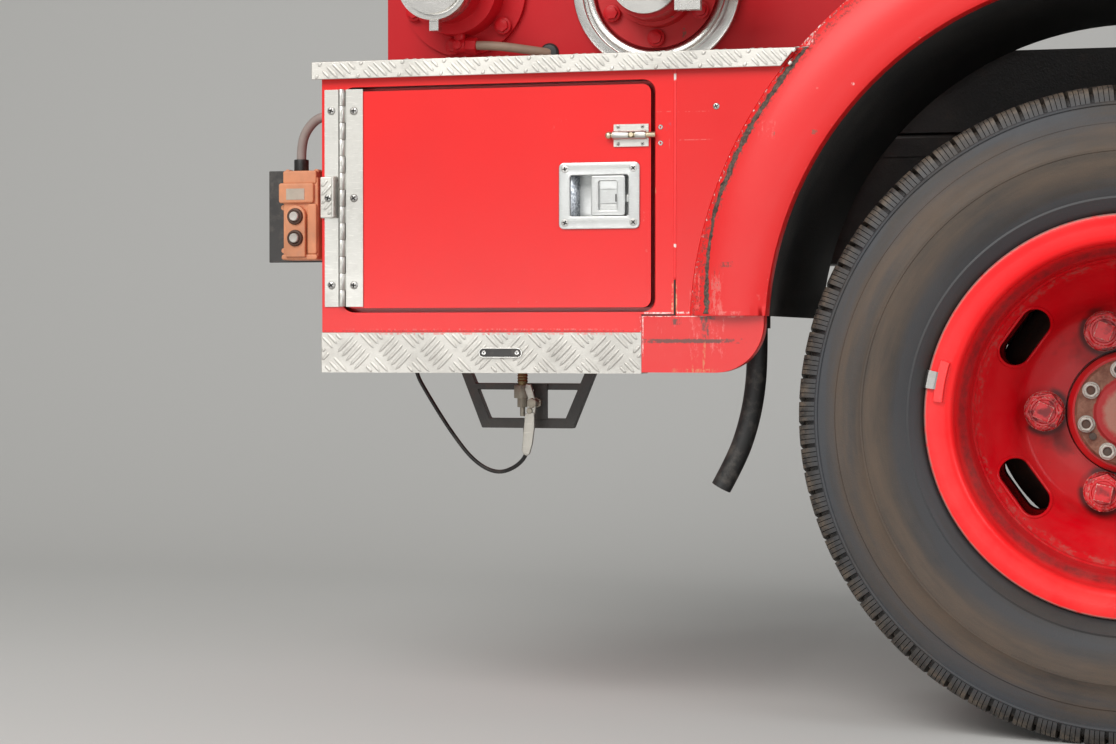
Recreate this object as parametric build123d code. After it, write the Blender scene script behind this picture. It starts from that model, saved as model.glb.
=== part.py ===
"""Side section of a fire engine: locker, wheel arch, chassis rail and twin rear wheel.

X runs along the vehicle with the front at -X, Y runs inboard and Z runs up.
The origin is on the inboard face of the rail's web, straight above the axle.
Heights are written above the road and turned into Z by up().
"""
from build123d import *
import math
import os

# Chassis rail, a rolled channel with its flanges inboard
RAIL_CENTRE_H = 650.0
RAIL_H = 180.0
RAIL_FLANGE = 60.0
RAIL_T = 6.0
RAIL_FRONT_X = -1000.0
RAIL_REAR_X = 640.0
RAIL_BEND_R = 9.0
MOUNT_DX, MOUNT_DZ, MOUNT_HOLE_R = 120.0, 100.0, 7.0
FRONT_MOUNT_X = -820.0

# Body side, heights above the road
SIDE_Y = -580.0
WALL_T = 20.0
SHEET_T = 4.0
SKIN_T = 3.0
SILL_TALL = 48.0
BAY_DEPTH = 249.0
BAY_SIDE_X = -300.0

# Wheel arch
ARCH_H = 460.0
ARCH_IN_R = 406.0
FLARE_W = 89.0
ARCH_OUT_R = ARCH_IN_R + FLARE_W
ARCH_TO_SEAM = 17.3
SEAM_X = -(ARCH_OUT_R + ARCH_TO_SEAM)
SECTION_REAR_X = ARCH_OUT_R + ARCH_TO_SEAM
LOCKER_W = 434.4
LOCKER_X0 = SEAM_X - LOCKER_W
PATCH_OVER_SEAM = 39.1
PATCH_X0 = SEAM_X - PATCH_OVER_SEAM
PANEL_OVER_ARCH = 95.0
SECTION_TOP_H = ARCH_H + ARCH_OUT_R + PANEL_OVER_ARCH
SILL_UNDER_ARCH_CENTRE = 43.0
SILL_H0 = ARCH_H - SILL_UNDER_ARCH_CENTRE
SILL_H1 = SILL_H0 + SILL_TALL
FOOT_OVER_SILL = 19.0
ARCH_FOOT_H = SILL_H1 + FOOT_OVER_SILL
FLARE_PROUD = 16.0
ARCH_CORNER_X = ARCH_IN_R + 2.0
ARCH_CORNER_R = 57.0
LINER_INBOARD_Y = -112.0

# Door and its piano hinge
DOOR_W, DOOR_H = 375.0, 260.0
DOOR_GAP = 5.0
DOOR_CORNER_R = 10.0
DOOR_OVER_SILL = 29.2
DOOR_SILL_H = SILL_H1 + DOOR_OVER_SILL
SHELF_OVER_DOOR = 35.8
SHELF_H = DOOR_SILL_H + DOOR_H + SHELF_OVER_DOOR
HINGE_PIN_TO_DOOR = 4.0
HINGE_PIN_R = 2.0
KNUCKLE_R = 4.0
KNUCKLES = 13
KNUCKLE_GAP = 0.4
HINGE_RUN_GAP = 0.06
LEAF_T = 2.0
HINGE_UP, HINGE_TALL = 1.8, 261.0
HINGE_H0 = DOOR_SILL_H + HINGE_UP
HINGE_H1 = HINGE_H0 + HINGE_TALL
FIXED_LEAF_W = 22.4
DOOR_LEAF_W = 26.3

# Locker box behind the face
LOCKER_DEPTH = 380.0

# Wheel and tyre
TYRE_R = 377.5
TYRE_W = 205.0
BULGE_R = 298.0
SHOULDER_IN = 17.0
BULGE_SET_BACK = 20.0
DUAL_SPACING = 235.0
AXLE_H = 370.0
RIM_SEAT_R = 203.0
RIM_LIP_R = 228.0
RIM_LIP_IN_R = 196.0
RIM_WELL_R = 190.0
RIM_T = 7.5
RIM_HALF_W = 76.0
RIM_LIP_T = 8.0
DISC_T = 12.0
DISC_FLAT_R, DISC_INNER_FLAT_R = 136.0, 124.0
DISC_SHOULDER_R, DISC_SKIRT_R = 148.0, 168.0
DISC_SKIRT_AT, DISC_WELD_AT, DISC_WELD_W = 76.0, 26.0, 32.0
STUDS = 5
STUD_PCD = 203.2
STUD_R = 10.0
NUT_AF = 41.0
NUT_H = 25.0
NUT_SQUARE = 20.5
SLOT_R = 152.0
SLOT_L, SLOT_W = 79.0, 36.0
HUB_R = 74.0
HUB_NOSE_L, HUB_TAIL_L = 57.0, 150.0
HUB_FLANGE_R = 120.0
HUB_FLANGE_T = 16.0
HUB_BORE_R = 46.0
BEARING_GAP = 0.05
DRUM_R = 168.0
DRUM_NOSE_R, DRUM_NOSE_L = 140.0, 46.0
DRUM_T = 10.0
DRUM_RIB_AT, DRUM_RIB_W, DRUM_RIB_R = 46.0, 8.0, 175.0
DRIVE_FLANGE_R = 65.0
DRIVE_FLANGE_T = 12.0
DRIVE_NUT_R = 53.0
DRIVE_BOSS_R, DRIVE_BOSS_T = 43.0, 5.0
DRIVE_NUTS = 8
DRIVE_NUT_AF = 19.0
HALF_SHAFT_R = 19.0
AXLE_TUBE_R = 50.0
AXLE_INBOARD_Y = 110.0

# Leaf spring: each leaf's length along the spring, longest first
LEAF_LENGTHS = (1100.0, 1040.0, 860.0, 680.0, 500.0, 320.0)
LEAF_PLATE_T = 10.0
SPRING_W = 70.0
SPRING_SAG = 42.0
SPRING_TO_RAIL = 6.0
EYE_R = 24.0
EYE_PIN_R = 11.0
SHACKLE_L = 80.0

# Worked out from the sizes above
RAIL_OUT_Y = -RAIL_T
INNER_FACE_Y = SIDE_Y + WALL_T
BAY_Y = SIDE_Y + BAY_DEPTH
OUTER_TYRE_Y = SIDE_Y + BULGE_SET_BACK + TYRE_W / 2
INNER_TYRE_Y = OUTER_TYRE_Y + DUAL_SPACING
MOUNT_PLANE_Y = (OUTER_TYRE_Y + INNER_TYRE_Y) / 2
HUB_FACE_Y = MOUNT_PLANE_Y + DISC_T
PIN_X = LOCKER_X0 + 26.7
DOOR_X0 = PIN_X + HINGE_PIN_TO_DOOR
DOOR_X1 = DOOR_X0 + DOOR_W
PIN_Y = SIDE_Y - KNUCKLE_R


def up(height):
    """Z of a height above the road."""
    return height - RAIL_CENTRE_H


def block(x0, x1, y0, y1, z0, z1):
    """A plain plate or bar between two corners."""
    size = Box(x1 - x0, y1 - y0, z1 - z0)
    return Pos((x0 + x1) / 2, (y0 + y1) / 2, (z0 + z1) / 2) * size


def along_y(sketch, y_out, y_in):
    """A drawing of the vehicle's side (X, Z), thick from y_out to y_in."""
    return extrude(Plane.XZ.offset(-y_in) * sketch, amount=y_in - y_out)


def along_x(sketch, x0, x1):
    """A drawing of the vehicle's section (Y, Z), from x0 to x1."""
    return extrude(Plane.YZ.offset(x0) * sketch, amount=x1 - x0)


def disc(x, z, r, y_out, y_in):
    """A round bar along Y."""
    return along_y(Pos(x, z) * Circle(r), y_out, y_in)


def post(x, y, r, z0, z1):
    """A round bar along Z."""
    return Pos(x, y, (z0 + z1) / 2) * Cylinder(r, z1 - z0)


def spun(points, centre_h):
    """A (Y, radius) outline turned about the line along Y at a height."""
    outline = make_face(Polyline(*[(y, up(centre_h) + r) for y, r in points], close=True))
    return revolve(Plane.YZ * outline, Axis((0, 0, up(centre_h)), (0, 1, 0)), 360)


def rounded(w, h, r):
    return RectangleRounded(w, h, r)


def ring_points(count, radius, first_deg=0.0):
    """(X, height over the axle) of equal steps round the axle."""
    steps = [math.radians(first_deg + 360.0 * i / count) for i in range(count)]
    return [(radius * math.cos(t), radius * math.sin(t)) for t in steps]


def chassis_rail():
    """Channel section swept along the vehicle, with two rectangles of bolt holes."""
    half = RAIL_H / 2
    outer = Rectangle(RAIL_T + RAIL_FLANGE, RAIL_H)
    outer = fillet(outer.vertices().group_by(Axis.X)[0], RAIL_BEND_R)
    inner = Pos(RAIL_T, 0) * Rectangle(RAIL_T + RAIL_FLANGE, RAIL_H - 2 * RAIL_T)
    section = Pos((RAIL_FLANGE - RAIL_T) / 2, 0) * (outer - inner)
    rail = along_x(section, RAIL_FRONT_X, RAIL_REAR_X)
    for centre in (0.0, FRONT_MOUNT_X):
        for sx in (-1, 1):
            for sz in (-1, 1):
                x, z = centre + sx * MOUNT_DX / 2, sz * MOUNT_DZ / 2
                rail -= disc(x, z, MOUNT_HOLE_R, RAIL_OUT_Y - 1, half)
    return rail


SUB_W, SUB_T = 50.0, 5.0
CROSS_W, CROSS_H = 50.0, 50.0
FLOOR_OVER_LINER = 30.0
SUB_TOP_H = ARCH_H + ARCH_IN_R + SHEET_T + FLOOR_OVER_LINER - CROSS_H
CROSS_X = (-290.0, 240.0, 462.0)
FLOOR_T = 4.0


def subframe():
    """Lengthwise channel that lies on the rail and carries the body."""
    z0, z1 = RAIL_H / 2, up(SUB_TOP_H)
    outer = Rectangle(SUB_W, z1 - z0)
    inner = Pos(SUB_T, 0) * Rectangle(SUB_W, z1 - z0 - 2 * SUB_T)
    section = Pos(RAIL_OUT_Y + SUB_W / 2, (z0 + z1) / 2) * (outer - inner)
    return along_x(section, LOCKER_X0, SECTION_REAR_X)


def body_crossmembers():
    """Three channels, open below, that carry the floor over the wheels."""
    z0 = up(SUB_TOP_H)
    outer = Rectangle(CROSS_W, CROSS_H)
    inner = Pos(0, -SUB_T) * Rectangle(CROSS_W - 2 * SUB_T, CROSS_H)
    bars = []
    for x in CROSS_X:
        plane = Plane.XZ.offset(-RAIL_FLANGE)
        section = Pos(x + CROSS_W / 2, z0 + CROSS_H / 2) * (outer - inner)
        bars.append(extrude(plane * section, amount=RAIL_FLANGE - INNER_FACE_Y))
    return Compound(bars)


def body_floor():
    z0 = up(SUB_TOP_H) + CROSS_H
    return block(BAY_SIDE_X + SHEET_T, SECTION_REAR_X, INNER_FACE_Y, RAIL_FLANGE, z0, z0 + FLOOR_T)


OUTRIGGER_X = (-880.0, -690.0)
OUTRIGGER_FOOT_W = 60.0
OUTRIGGER_T = 6.0
OUTRIGGER_LOW_H, OUTRIGGER_HIGH_H = RAIL_CENTRE_H - 60.0, RAIL_CENTRE_H + 80.0
OUTRIGGER_TIP, OUTRIGGER_FOOT = 70.0, 90.0


def outrigger(x):
    """One gusset between the rail's web and the locker's back, with a foot on each."""
    back = SIDE_Y + LOCKER_DEPTH
    low, high = up(OUTRIGGER_LOW_H), up(OUTRIGGER_HIGH_H)
    corners = ((RAIL_OUT_Y, low), (RAIL_OUT_Y, high), (back, high), (back, high - OUTRIGGER_TIP))
    web = make_face(Polyline(*corners, close=True))
    gusset = along_x(web, x - OUTRIGGER_T / 2, x + OUTRIGGER_T / 2)
    half = OUTRIGGER_FOOT_W / 2
    rail_foot = block(x - half, x + half, RAIL_OUT_Y - OUTRIGGER_T, RAIL_OUT_Y, low, high)
    body_foot = block(x - half, x + half, back, back + OUTRIGGER_T, high - OUTRIGGER_FOOT, high)
    return gusset + rail_foot + body_foot


LOCKER_X1 = SEAM_X - SHEET_T
LOCKER_TOP_H = SHELF_H - SKIN_T


def locker_box():
    """Sheet box that is open at the door."""
    x0, x1 = LOCKER_X0, LOCKER_X1
    y1 = SIDE_Y + LOCKER_DEPTH
    z0, z1 = up(SILL_H1), up(LOCKER_TOP_H)
    outer = block(x0, x1, INNER_FACE_Y, y1, z0, z1)
    t = SHEET_T
    return outer - block(x0 + t, x1 - t, INNER_FACE_Y - 1, y1 - t, z0 + t, z1 - t)


def door_outline(grow):
    """The door's front, or its opening when it grows by the gap."""
    w, h = DOOR_W + 2 * grow, DOOR_H + 2 * grow
    centre = Pos(DOOR_X0 + DOOR_W / 2, up(DOOR_SILL_H) + DOOR_H / 2)
    return centre * rounded(w, h, DOOR_CORNER_R + grow)


def locker_face():
    """Front frame round the door, with its edges folded in to the wall's thickness."""
    x0, x1 = LOCKER_X0, SEAM_X
    z0, z1 = up(SILL_H1), up(LOCKER_TOP_H)
    frame = Pos((x0 + x1) / 2, (z0 + z1) / 2) * Rectangle(x1 - x0, z1 - z0)
    return along_y(frame - door_outline(DOOR_GAP), SIDE_Y, INNER_FACE_Y)


def door_stop():
    """Rubber-lipped strip inside the opening that the shut door rests on."""
    centre = Pos(DOOR_X0 + DOOR_W / 2, up(DOOR_SILL_H) + DOOR_H / 2)
    outer = centre * rounded(DOOR_W + 16, DOOR_H + 16, DOOR_CORNER_R + 8)
    inner = centre * rounded(DOOR_W - 24, DOOR_H - 24, DOOR_CORNER_R)
    ring = along_y(outer - inner, INNER_FACE_Y + 0.3, INNER_FACE_Y + 0.3 + SKIN_T)
    return ring


def arch_disc(r, y_out, y_in):
    return disc(0, up(ARCH_H), r, y_out, y_in)


def side_panel():
    """Panel between the locker's seam and the arch."""
    x0, x1 = SEAM_X + 0.5, SEAM_X + 172.3
    z0, z1 = up(ARCH_FOOT_H), up(LOCKER_TOP_H)
    plate = block(x0, x1, SIDE_Y, INNER_FACE_Y, z0, z1)
    return plate - arch_disc(ARCH_OUT_R, SIDE_Y - 1, INNER_FACE_Y + 1)


def corner_outline(x0, x1):
    """Foot of the arch with one rounded corner towards the wheel."""
    z0, z1 = up(SILL_H0 + 1.5), up(ARCH_FOOT_H)
    plate = Pos((x0 + x1) / 2, (z0 + z1) / 2) * Rectangle(x1 - x0, z1 - z0)
    wheel_side = -1 if x0 > 0 else 1
    corner = plate.vertices().group_by(Axis.Y)[0].sort_by(Axis.X)[-1 if wheel_side > 0 else 0]
    return fillet(corner, ARCH_CORNER_R)


def corner_panel():
    """Scraped foot of the arch with its lapped skin."""
    skin = along_y(corner_outline(PATCH_X0, -ARCH_CORNER_X), SIDE_Y - SKIN_T, SIDE_Y)
    return skin + along_y(corner_outline(SEAM_X + 0.5, -ARCH_CORNER_X), SIDE_Y, INNER_FACE_Y)


def quarter_panel():
    """Body side above and behind the arch."""
    x0, x1 = BAY_SIDE_X, SECTION_REAR_X
    plate = block(x0, x1, SIDE_Y, INNER_FACE_Y, up(ARCH_FOOT_H), up(SECTION_TOP_H))
    plate -= arch_disc(ARCH_OUT_R, SIDE_Y - 1, INNER_FACE_Y + 1)
    plate = plate.solids().sort_by(SortBy.VOLUME)[-1]
    return plate + along_y(corner_outline(ARCH_CORNER_X, x1), SIDE_Y, INNER_FACE_Y)


def arch_flare():
    """Bulged band round the arch, a pressed sheet turned about the arch's centre."""
    edge, crest, lip = SIDE_Y, SIDE_Y - FLARE_PROUD, SIDE_Y - FLARE_PROUD * 0.6
    mid = ARCH_IN_R + 0.42 * (ARCH_OUT_R - ARCH_IN_R)
    t = SHEET_T
    base = up(ARCH_H)
    outer = ThreePointArc((edge, base + ARCH_OUT_R), (crest, base + mid), (lip, base + ARCH_IN_R))
    lip_in = Line((lip, base + ARCH_IN_R), (INNER_FACE_Y, base + ARCH_IN_R))
    turn = Line((INNER_FACE_Y, base + ARCH_IN_R), (INNER_FACE_Y, base + ARCH_IN_R + t))
    back = Line((INNER_FACE_Y, base + ARCH_IN_R + t), (lip + t, base + ARCH_IN_R + t))
    under_lip = (lip + t, base + ARCH_IN_R + t)
    under = ThreePointArc(under_lip, (crest + t, base + mid), (edge + t, base + ARCH_OUT_R))
    close = Line((edge + t, base + ARCH_OUT_R), (edge, base + ARCH_OUT_R))
    outline = make_face([outer, lip_in, turn, back, under, close])
    ring = revolve(Plane.YZ * outline, Axis((0, 0, base), (0, 1, 0)), 360)
    far = 2 * ARCH_OUT_R
    return ring - block(-far, far, SIDE_Y - 50, INNER_FACE_Y + 1, base - far, up(ARCH_FOOT_H))


def arch_liner():
    """Splash sheet over both tyres, carried by the flare's inner edge."""
    ring = arch_disc(ARCH_IN_R + SHEET_T, INNER_FACE_Y, LINER_INBOARD_Y)
    ring -= arch_disc(ARCH_IN_R, INNER_FACE_Y - 1, LINER_INBOARD_Y + 1)
    far = 2 * ARCH_OUT_R
    return ring - block(-far, far, INNER_FACE_Y - 1, LINER_INBOARD_Y + 1, up(ARCH_H) - far, up(ARCH_FOOT_H))


def bay_wall():
    """Back and rear walls of the recess above the shelf, folded from one sheet."""
    z0, z1 = up(SHELF_H), up(SECTION_TOP_H)
    wall = block(LOCKER_X0, BAY_SIDE_X, BAY_Y, BAY_Y + SHEET_T, z0, z1)
    edge = block(LOCKER_X0, LOCKER_X0 + SHEET_T, BAY_Y, BAY_Y + 25, z0, z1)
    side = block(BAY_SIDE_X, BAY_SIDE_X + SHEET_T, INNER_FACE_Y, BAY_Y + SHEET_T, z0, z1)
    return wall + edge + side


SHELF_X0 = -956.0
SHELF_END_TOP_X = -353.0
SHELF_END_LOW_X = -368.0
SHELF_LIP_H = 21.0
SHELF_PROUD = 10.0


def shelf_plate():
    """Tread plate on the locker's top, with a folded lip that stands proud."""
    y0 = SIDE_Y - SHELF_PROUD
    z1 = up(SHELF_H)
    inner_z = up(LOCKER_TOP_H)
    low = z1 - SHELF_LIP_H
    sheet = block(SHELF_X0, BAY_SIDE_X, INNER_FACE_Y, BAY_Y, inner_z, z1)
    front = block(SHELF_X0, SHELF_END_TOP_X, y0, INNER_FACE_Y, inner_z, z1)
    lip_points = ((SHELF_X0, low), (SHELF_END_LOW_X, low), (SHELF_END_TOP_X, z1), (SHELF_X0, z1))
    lip = along_y(make_face(Polyline(*lip_points, close=True)), y0, y0 + SKIN_T)
    arch = arch_disc(ARCH_OUT_R + 1, y0 - 1, INNER_FACE_Y)
    return sheet + (front - arch) + (lip - arch)


def sill_beam():
    """Box bar under the locker's face."""
    x0, x1 = LOCKER_X0, SEAM_X
    y1 = INNER_FACE_Y + 20
    z0, z1 = up(SILL_H0 + SKIN_T), up(SILL_H1)
    t = SHEET_T
    return block(x0, x1, SIDE_Y, y1, z0, z1) - block(x0 - 1, x1 + 1, SIDE_Y + t, y1 - t, z0 + t, z1 - t)


def sill_plate():
    """Tread plate folded round the sill beam."""
    z0, z1 = up(SILL_H0), up(SILL_H1)
    front = block(LOCKER_X0, PATCH_X0, SIDE_Y - SKIN_T, SIDE_Y, z0, z1)
    return front + block(LOCKER_X0, PATCH_X0, SIDE_Y, SIDE_Y + 34, z0, z0 + SKIN_T)


def knuckle_spans():
    """(lowest, highest, on the door's side) of each hinge knuckle, from below."""
    pitch = (HINGE_H1 - HINGE_H0) / KNUCKLES
    spans = []
    for i in range(KNUCKLES):
        low = up(HINGE_H0) + i * pitch
        spans.append((low + KNUCKLE_GAP / 2, low + pitch - KNUCKLE_GAP / 2, i % 2 == 1))
    return spans


def hinge_leaf(door_side):
    """One leaf of the piano hinge with its own knuckles rolled on."""
    width = DOOR_LEAF_W if door_side else FIXED_LEAF_W
    side = 1 if door_side else -1
    bore = HINGE_PIN_R + (HINGE_RUN_GAP if door_side else 0.0)
    near = PIN_X + side * (KNUCKLE_R + 0.3)
    far = PIN_X + side * width
    leaf = block(min(near, far), max(near, far), SIDE_Y - LEAF_T, SIDE_Y, up(HINGE_H0), up(HINGE_H1))
    for low, high, on_door in knuckle_spans():
        if on_door == door_side:
            web = block(min(PIN_X, near), max(PIN_X, near), SIDE_Y - LEAF_T, SIDE_Y - 0.2, low, high)
            knuckle = post(PIN_X, PIN_Y, KNUCKLE_R, low, high) + web
            leaf += knuckle - post(PIN_X, PIN_Y, bore, low - 1, high + 1)
    return leaf


def hinge_pin():
    return post(PIN_X, PIN_Y, HINGE_PIN_R, up(HINGE_H0) + KNUCKLE_GAP / 2, up(HINGE_H1) - KNUCKLE_GAP / 2)


LATCH_X, LATCH_H = DOOR_X1 - 61.5, DOOR_SILL_H + 130.8
LATCH_W, LATCH_TALL = 97.0, 78.0
LATCH_T = 2.5
TUB_W, TUB_TALL, TUB_DEEP, TUB_T = 70.0, 48.0, 26.0, 2.0
PADDLE_W, PADDLE_TALL, PADDLE_T = 41.0, 47.0, 5.0
PADDLE_FROM_RIGHT = 4.0


def door():
    """Folded pan door with the latch's hole."""
    pan = along_y(door_outline(0), SIDE_Y, INNER_FACE_Y)
    hole = Pos(LATCH_X, up(LATCH_H)) * Rectangle(TUB_W + 2 * TUB_T, TUB_TALL + 2 * TUB_T)
    return pan - along_y(hole, SIDE_Y - 1, INNER_FACE_Y + 1)


def latch_body():
    """Bezel and sunk tub of the flush latch, pressed as one."""
    centre = Pos(LATCH_X, up(LATCH_H))
    bezel = along_y(centre * rounded(LATCH_W, LATCH_TALL, 6), SIDE_Y - LATCH_T, SIDE_Y)
    tub = along_y(centre * Rectangle(TUB_W + 2 * TUB_T, TUB_TALL + 2 * TUB_T), SIDE_Y, SIDE_Y + TUB_DEEP)
    hollow = along_y(centre * rounded(TUB_W, TUB_TALL, 4), SIDE_Y - LATCH_T - 1, SIDE_Y + TUB_DEEP - TUB_T)
    return bezel + tub - hollow


def latch_paddle():
    """Pull paddle at the tub's rear side, dished for a finger, on its pin."""
    x1 = LATCH_X + TUB_W / 2 - PADDLE_FROM_RIGHT
    x0 = x1 - PADDLE_W
    z = up(LATCH_H)
    middle, front = (x0 + x1) / 2, SIDE_Y - 1
    plate = along_y(Pos(middle, z) * rounded(PADDLE_W, PADDLE_TALL, 3), front, front + PADDLE_T)
    dish = along_y(Pos(middle - 1, z) * rounded(23, 35, 2), front - 1, front + 2)
    pin = post(x1 - 4, SIDE_Y + 5, 3, z - TUB_TALL / 2, z + TUB_TALL / 2)
    return plate - dish + pin


BOLT_ABOVE_LATCH = 69.5
BOLT_H = LATCH_H + BOLT_ABOVE_LATCH
BOLT_BASE_X1 = DOOR_X1 - 2.5
BOLT_BASE_X0 = BOLT_BASE_X1 - 41.5
BOLT_BASE_TALL = 26.0
BOLT_ROD_R = 3.3
BOLT_BARREL_R = 5.2
BOLT_BALL_X, BOLT_TIP_X = BOLT_BASE_X0 - 5.0, BOLT_BASE_X1 + 9.0
BOLT_WINDOW_X0, BOLT_WINDOW_X1 = BOLT_BASE_X1 - 22.5, BOLT_BASE_X1 - 14.5


def bolt_base():
    """Barrel bolt's base, pressed up into a barrel with a window for the thumb stud."""
    x0, x1 = BOLT_BASE_X0, BOLT_BASE_X1
    z = up(BOLT_H)
    y = SIDE_Y - LEAF_T - BOLT_ROD_R - 0.3
    plate = block(x0, x1, SIDE_Y - LEAF_T, SIDE_Y, z - BOLT_BASE_TALL / 2, z + BOLT_BASE_TALL / 2)
    middle, length = (x0 + x1) / 2 - 1, x1 - x0 - 2
    barrel = Pos(middle, y, z) * Rot(0, 90, 0) * Cylinder(BOLT_BARREL_R, length)
    barrel -= block(x0 - 2, x1 + 2, SIDE_Y - LEAF_T, SIDE_Y + BOLT_BARREL_R, z - 9, z + 9)
    window = block(BOLT_WINDOW_X0, BOLT_WINDOW_X1, y - 2 * BOLT_BARREL_R, y, z - BOLT_ROD_R, z + BOLT_ROD_R)
    bore = Pos(middle, y, z) * Rot(0, 90, 0) * Cylinder(BOLT_ROD_R, length + 2)
    return plate + (barrel - window) - bore


def bolt_rod():
    """Sliding rod with its ball end and thumb stud, pushed home."""
    z = up(BOLT_H)
    y = SIDE_Y - LEAF_T - BOLT_ROD_R - 0.3
    length = BOLT_TIP_X - BOLT_BALL_X
    rod = Pos((BOLT_TIP_X + BOLT_BALL_X) / 2, y, z) * Rot(0, 90, 0) * Cylinder(BOLT_ROD_R, length)
    stud = disc((BOLT_WINDOW_X0 + BOLT_WINDOW_X1) / 2, z, 2.6, y - BOLT_BARREL_R - 2.5, y)
    return rod + Pos(BOLT_BALL_X, y, z) * Sphere(BOLT_ROD_R + 1.2) + stud


CLIP_X0, CLIP_X1 = LOCKER_X0, LOCKER_X0 + 21.2
CLIP_H0, CLIP_TALL = DOOR_SILL_H + 108.5, 49.8
CLIP_H1 = CLIP_H0 + CLIP_TALL
CLIP_PROUD = 15.0


def door_stop_clip():
    """Bent scrap of tread plate, screwed over the hinge, that stops the open door."""
    y = SIDE_Y - LEAF_T
    foot = block(CLIP_X0, CLIP_X1, y - SKIN_T, y, up(CLIP_H0), up(CLIP_H1))
    return foot + block(CLIP_X1 - SKIN_T, CLIP_X1, y - CLIP_PROUD, y - SKIN_T, up(CLIP_H0), up(CLIP_H1))


def tyre(y):
    """Tyre turned about the axle in straight runs; its tread blocks are left off."""
    half, bead = TYRE_W / 2, RIM_HALF_W - 0.5
    side = [
        (bead, RIM_SEAT_R), (bead, RIM_LIP_R + 1), (half, BULGE_R), (half - SHOULDER_IN, TYRE_R),
    ]
    outline = [(y - u, r) for u, r in side] + [(y + u, r) for u, r in reversed(side)]
    return spun(outline, AXLE_H)


def disc_wheel(y, inboard):
    """Drop-centre rim with a deep dished disc, five slots and stud holes."""
    s = inboard
    lip = RIM_HALF_W + RIM_LIP_T
    seat, well = RIM_SEAT_R, RIM_WELL_R
    rim_outline = [
        (-lip, RIM_LIP_R), (-RIM_HALF_W, RIM_LIP_R), (-RIM_HALF_W, seat), (-48, seat), (-38, well),
        (38, well), (48, seat), (RIM_HALF_W, seat), (RIM_HALF_W, RIM_LIP_R), (lip, RIM_LIP_R),
        (lip, RIM_LIP_IN_R), (50, RIM_LIP_IN_R), (40, well - RIM_T), (-40, well - RIM_T),
        (-50, RIM_LIP_IN_R), (-lip, RIM_LIP_IN_R),
    ]
    rim = spun([(y + u, r) for u, r in rim_outline], AXLE_H)
    flat, weld = DUAL_SPACING / 2, well - RIM_T
    bore = HUB_R + 3
    back = flat - DISC_T
    knee, skirt, foot = DISC_SHOULDER_R, DISC_SKIRT_R, DISC_WELD_AT
    disc_outline = [
        (flat, bore), (flat, DISC_FLAT_R), (flat - 8, DISC_FLAT_R + 7), (flat - 20, knee),
        (DISC_SKIRT_AT, skirt), (foot + DISC_WELD_W, weld), (foot, weld), (foot + 4, weld - 7),
        (foot + 17, skirt - 0.5), (foot + 33, knee + 6), (DISC_SKIRT_AT + 1, knee - 6.4),
        (back - 8, DISC_INNER_FLAT_R + 8.5), (back, DISC_INNER_FLAT_R), (back, bore),
    ]
    wheel = rim + spun([(y + s * u, r) for u, r in disc_outline], AXLE_H)
    lo, hi = min(y, y + s * (flat + 5)), max(y, y + s * (flat + 5))
    for x, h in ring_points(STUDS, STUD_PCD / 2, 180.0):
        wheel -= disc(x, up(AXLE_H) + h, STUD_R + 1.5, lo, hi)
    for i in range(STUDS):
        turn = Rot(0, 0, 180.0 + (i + 0.5) * 360.0 / STUDS)
        slot = turn * Pos(SLOT_R, 0) * Rot(0, 0, 90) * SlotOverall(SLOT_L, SLOT_W)
        wheel -= along_y(Pos(0, up(AXLE_H)) * slot, lo, hi)
    return wheel


def wheel_nuts():
    """Double nuts: a hexagon with the inner nut's square end, on each stud."""
    face = MOUNT_PLANE_Y - DISC_T
    nuts = []
    square = Rectangle(NUT_SQUARE, NUT_SQUARE)
    for x, h in ring_points(STUDS, STUD_PCD / 2, 180.0):
        spot = Pos(x, up(AXLE_H) + h)
        hexagon = spot * RegularPolygon(NUT_AF / 2, 6, major_radius=False)
        nut = along_y(hexagon, face - NUT_H, face) + along_y(spot * square, face - NUT_H - 12, face - NUT_H)
        nuts.append(nut + along_y(spot * Circle(STUD_R), face, HUB_FACE_Y))
    return Compound(nuts)


def hub():
    """Hub with its stud flange, drum seat and bearing bore."""
    y0, y1 = HUB_FACE_Y - HUB_NOSE_L, HUB_FACE_Y + HUB_TAIL_L
    flange = HUB_FACE_Y + HUB_FLANGE_T
    outline = [
        (y0, HUB_R - 6), (y0 + 6, HUB_R), (HUB_FACE_Y, HUB_R), (HUB_FACE_Y, HUB_FLANGE_R),
        (flange, HUB_FLANGE_R), (flange, HUB_FLANGE_R - 7), (flange + 16, HUB_FLANGE_R - 7),
        (flange + 16, HUB_R + 12), (y1, HUB_R), (y1, HUB_BORE_R), (y0, HUB_BORE_R),
    ]
    return spun(outline, AXLE_H)


def brake_drum():
    """Drum on the hub's seat: a tapered nose inside the wheel, two ribs, open inboard."""
    web = HUB_FACE_Y + HUB_FLANGE_T + 16
    edge = LINER_INBOARD_Y - 18
    shoulder = web + DRUM_NOSE_L
    r, t = DRUM_R, DRUM_T
    rib0, rib1, rib_r = edge - DRUM_RIB_AT, edge - DRUM_RIB_AT + DRUM_RIB_W, DRUM_RIB_R
    outline = [
        (web, HUB_R + 13), (web, DRUM_NOSE_R), (shoulder, r), (rib0, r), (rib0, rib_r),
        (rib1, rib_r), (rib1, r), (edge - 10, r), (edge - 10, rib_r), (edge, rib_r), (edge, r - t),
        (shoulder + 2, r - t), (web + t, DRUM_NOSE_R - 6), (web + t, HUB_R + 13),
    ]
    return spun(outline, AXLE_H)


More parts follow.
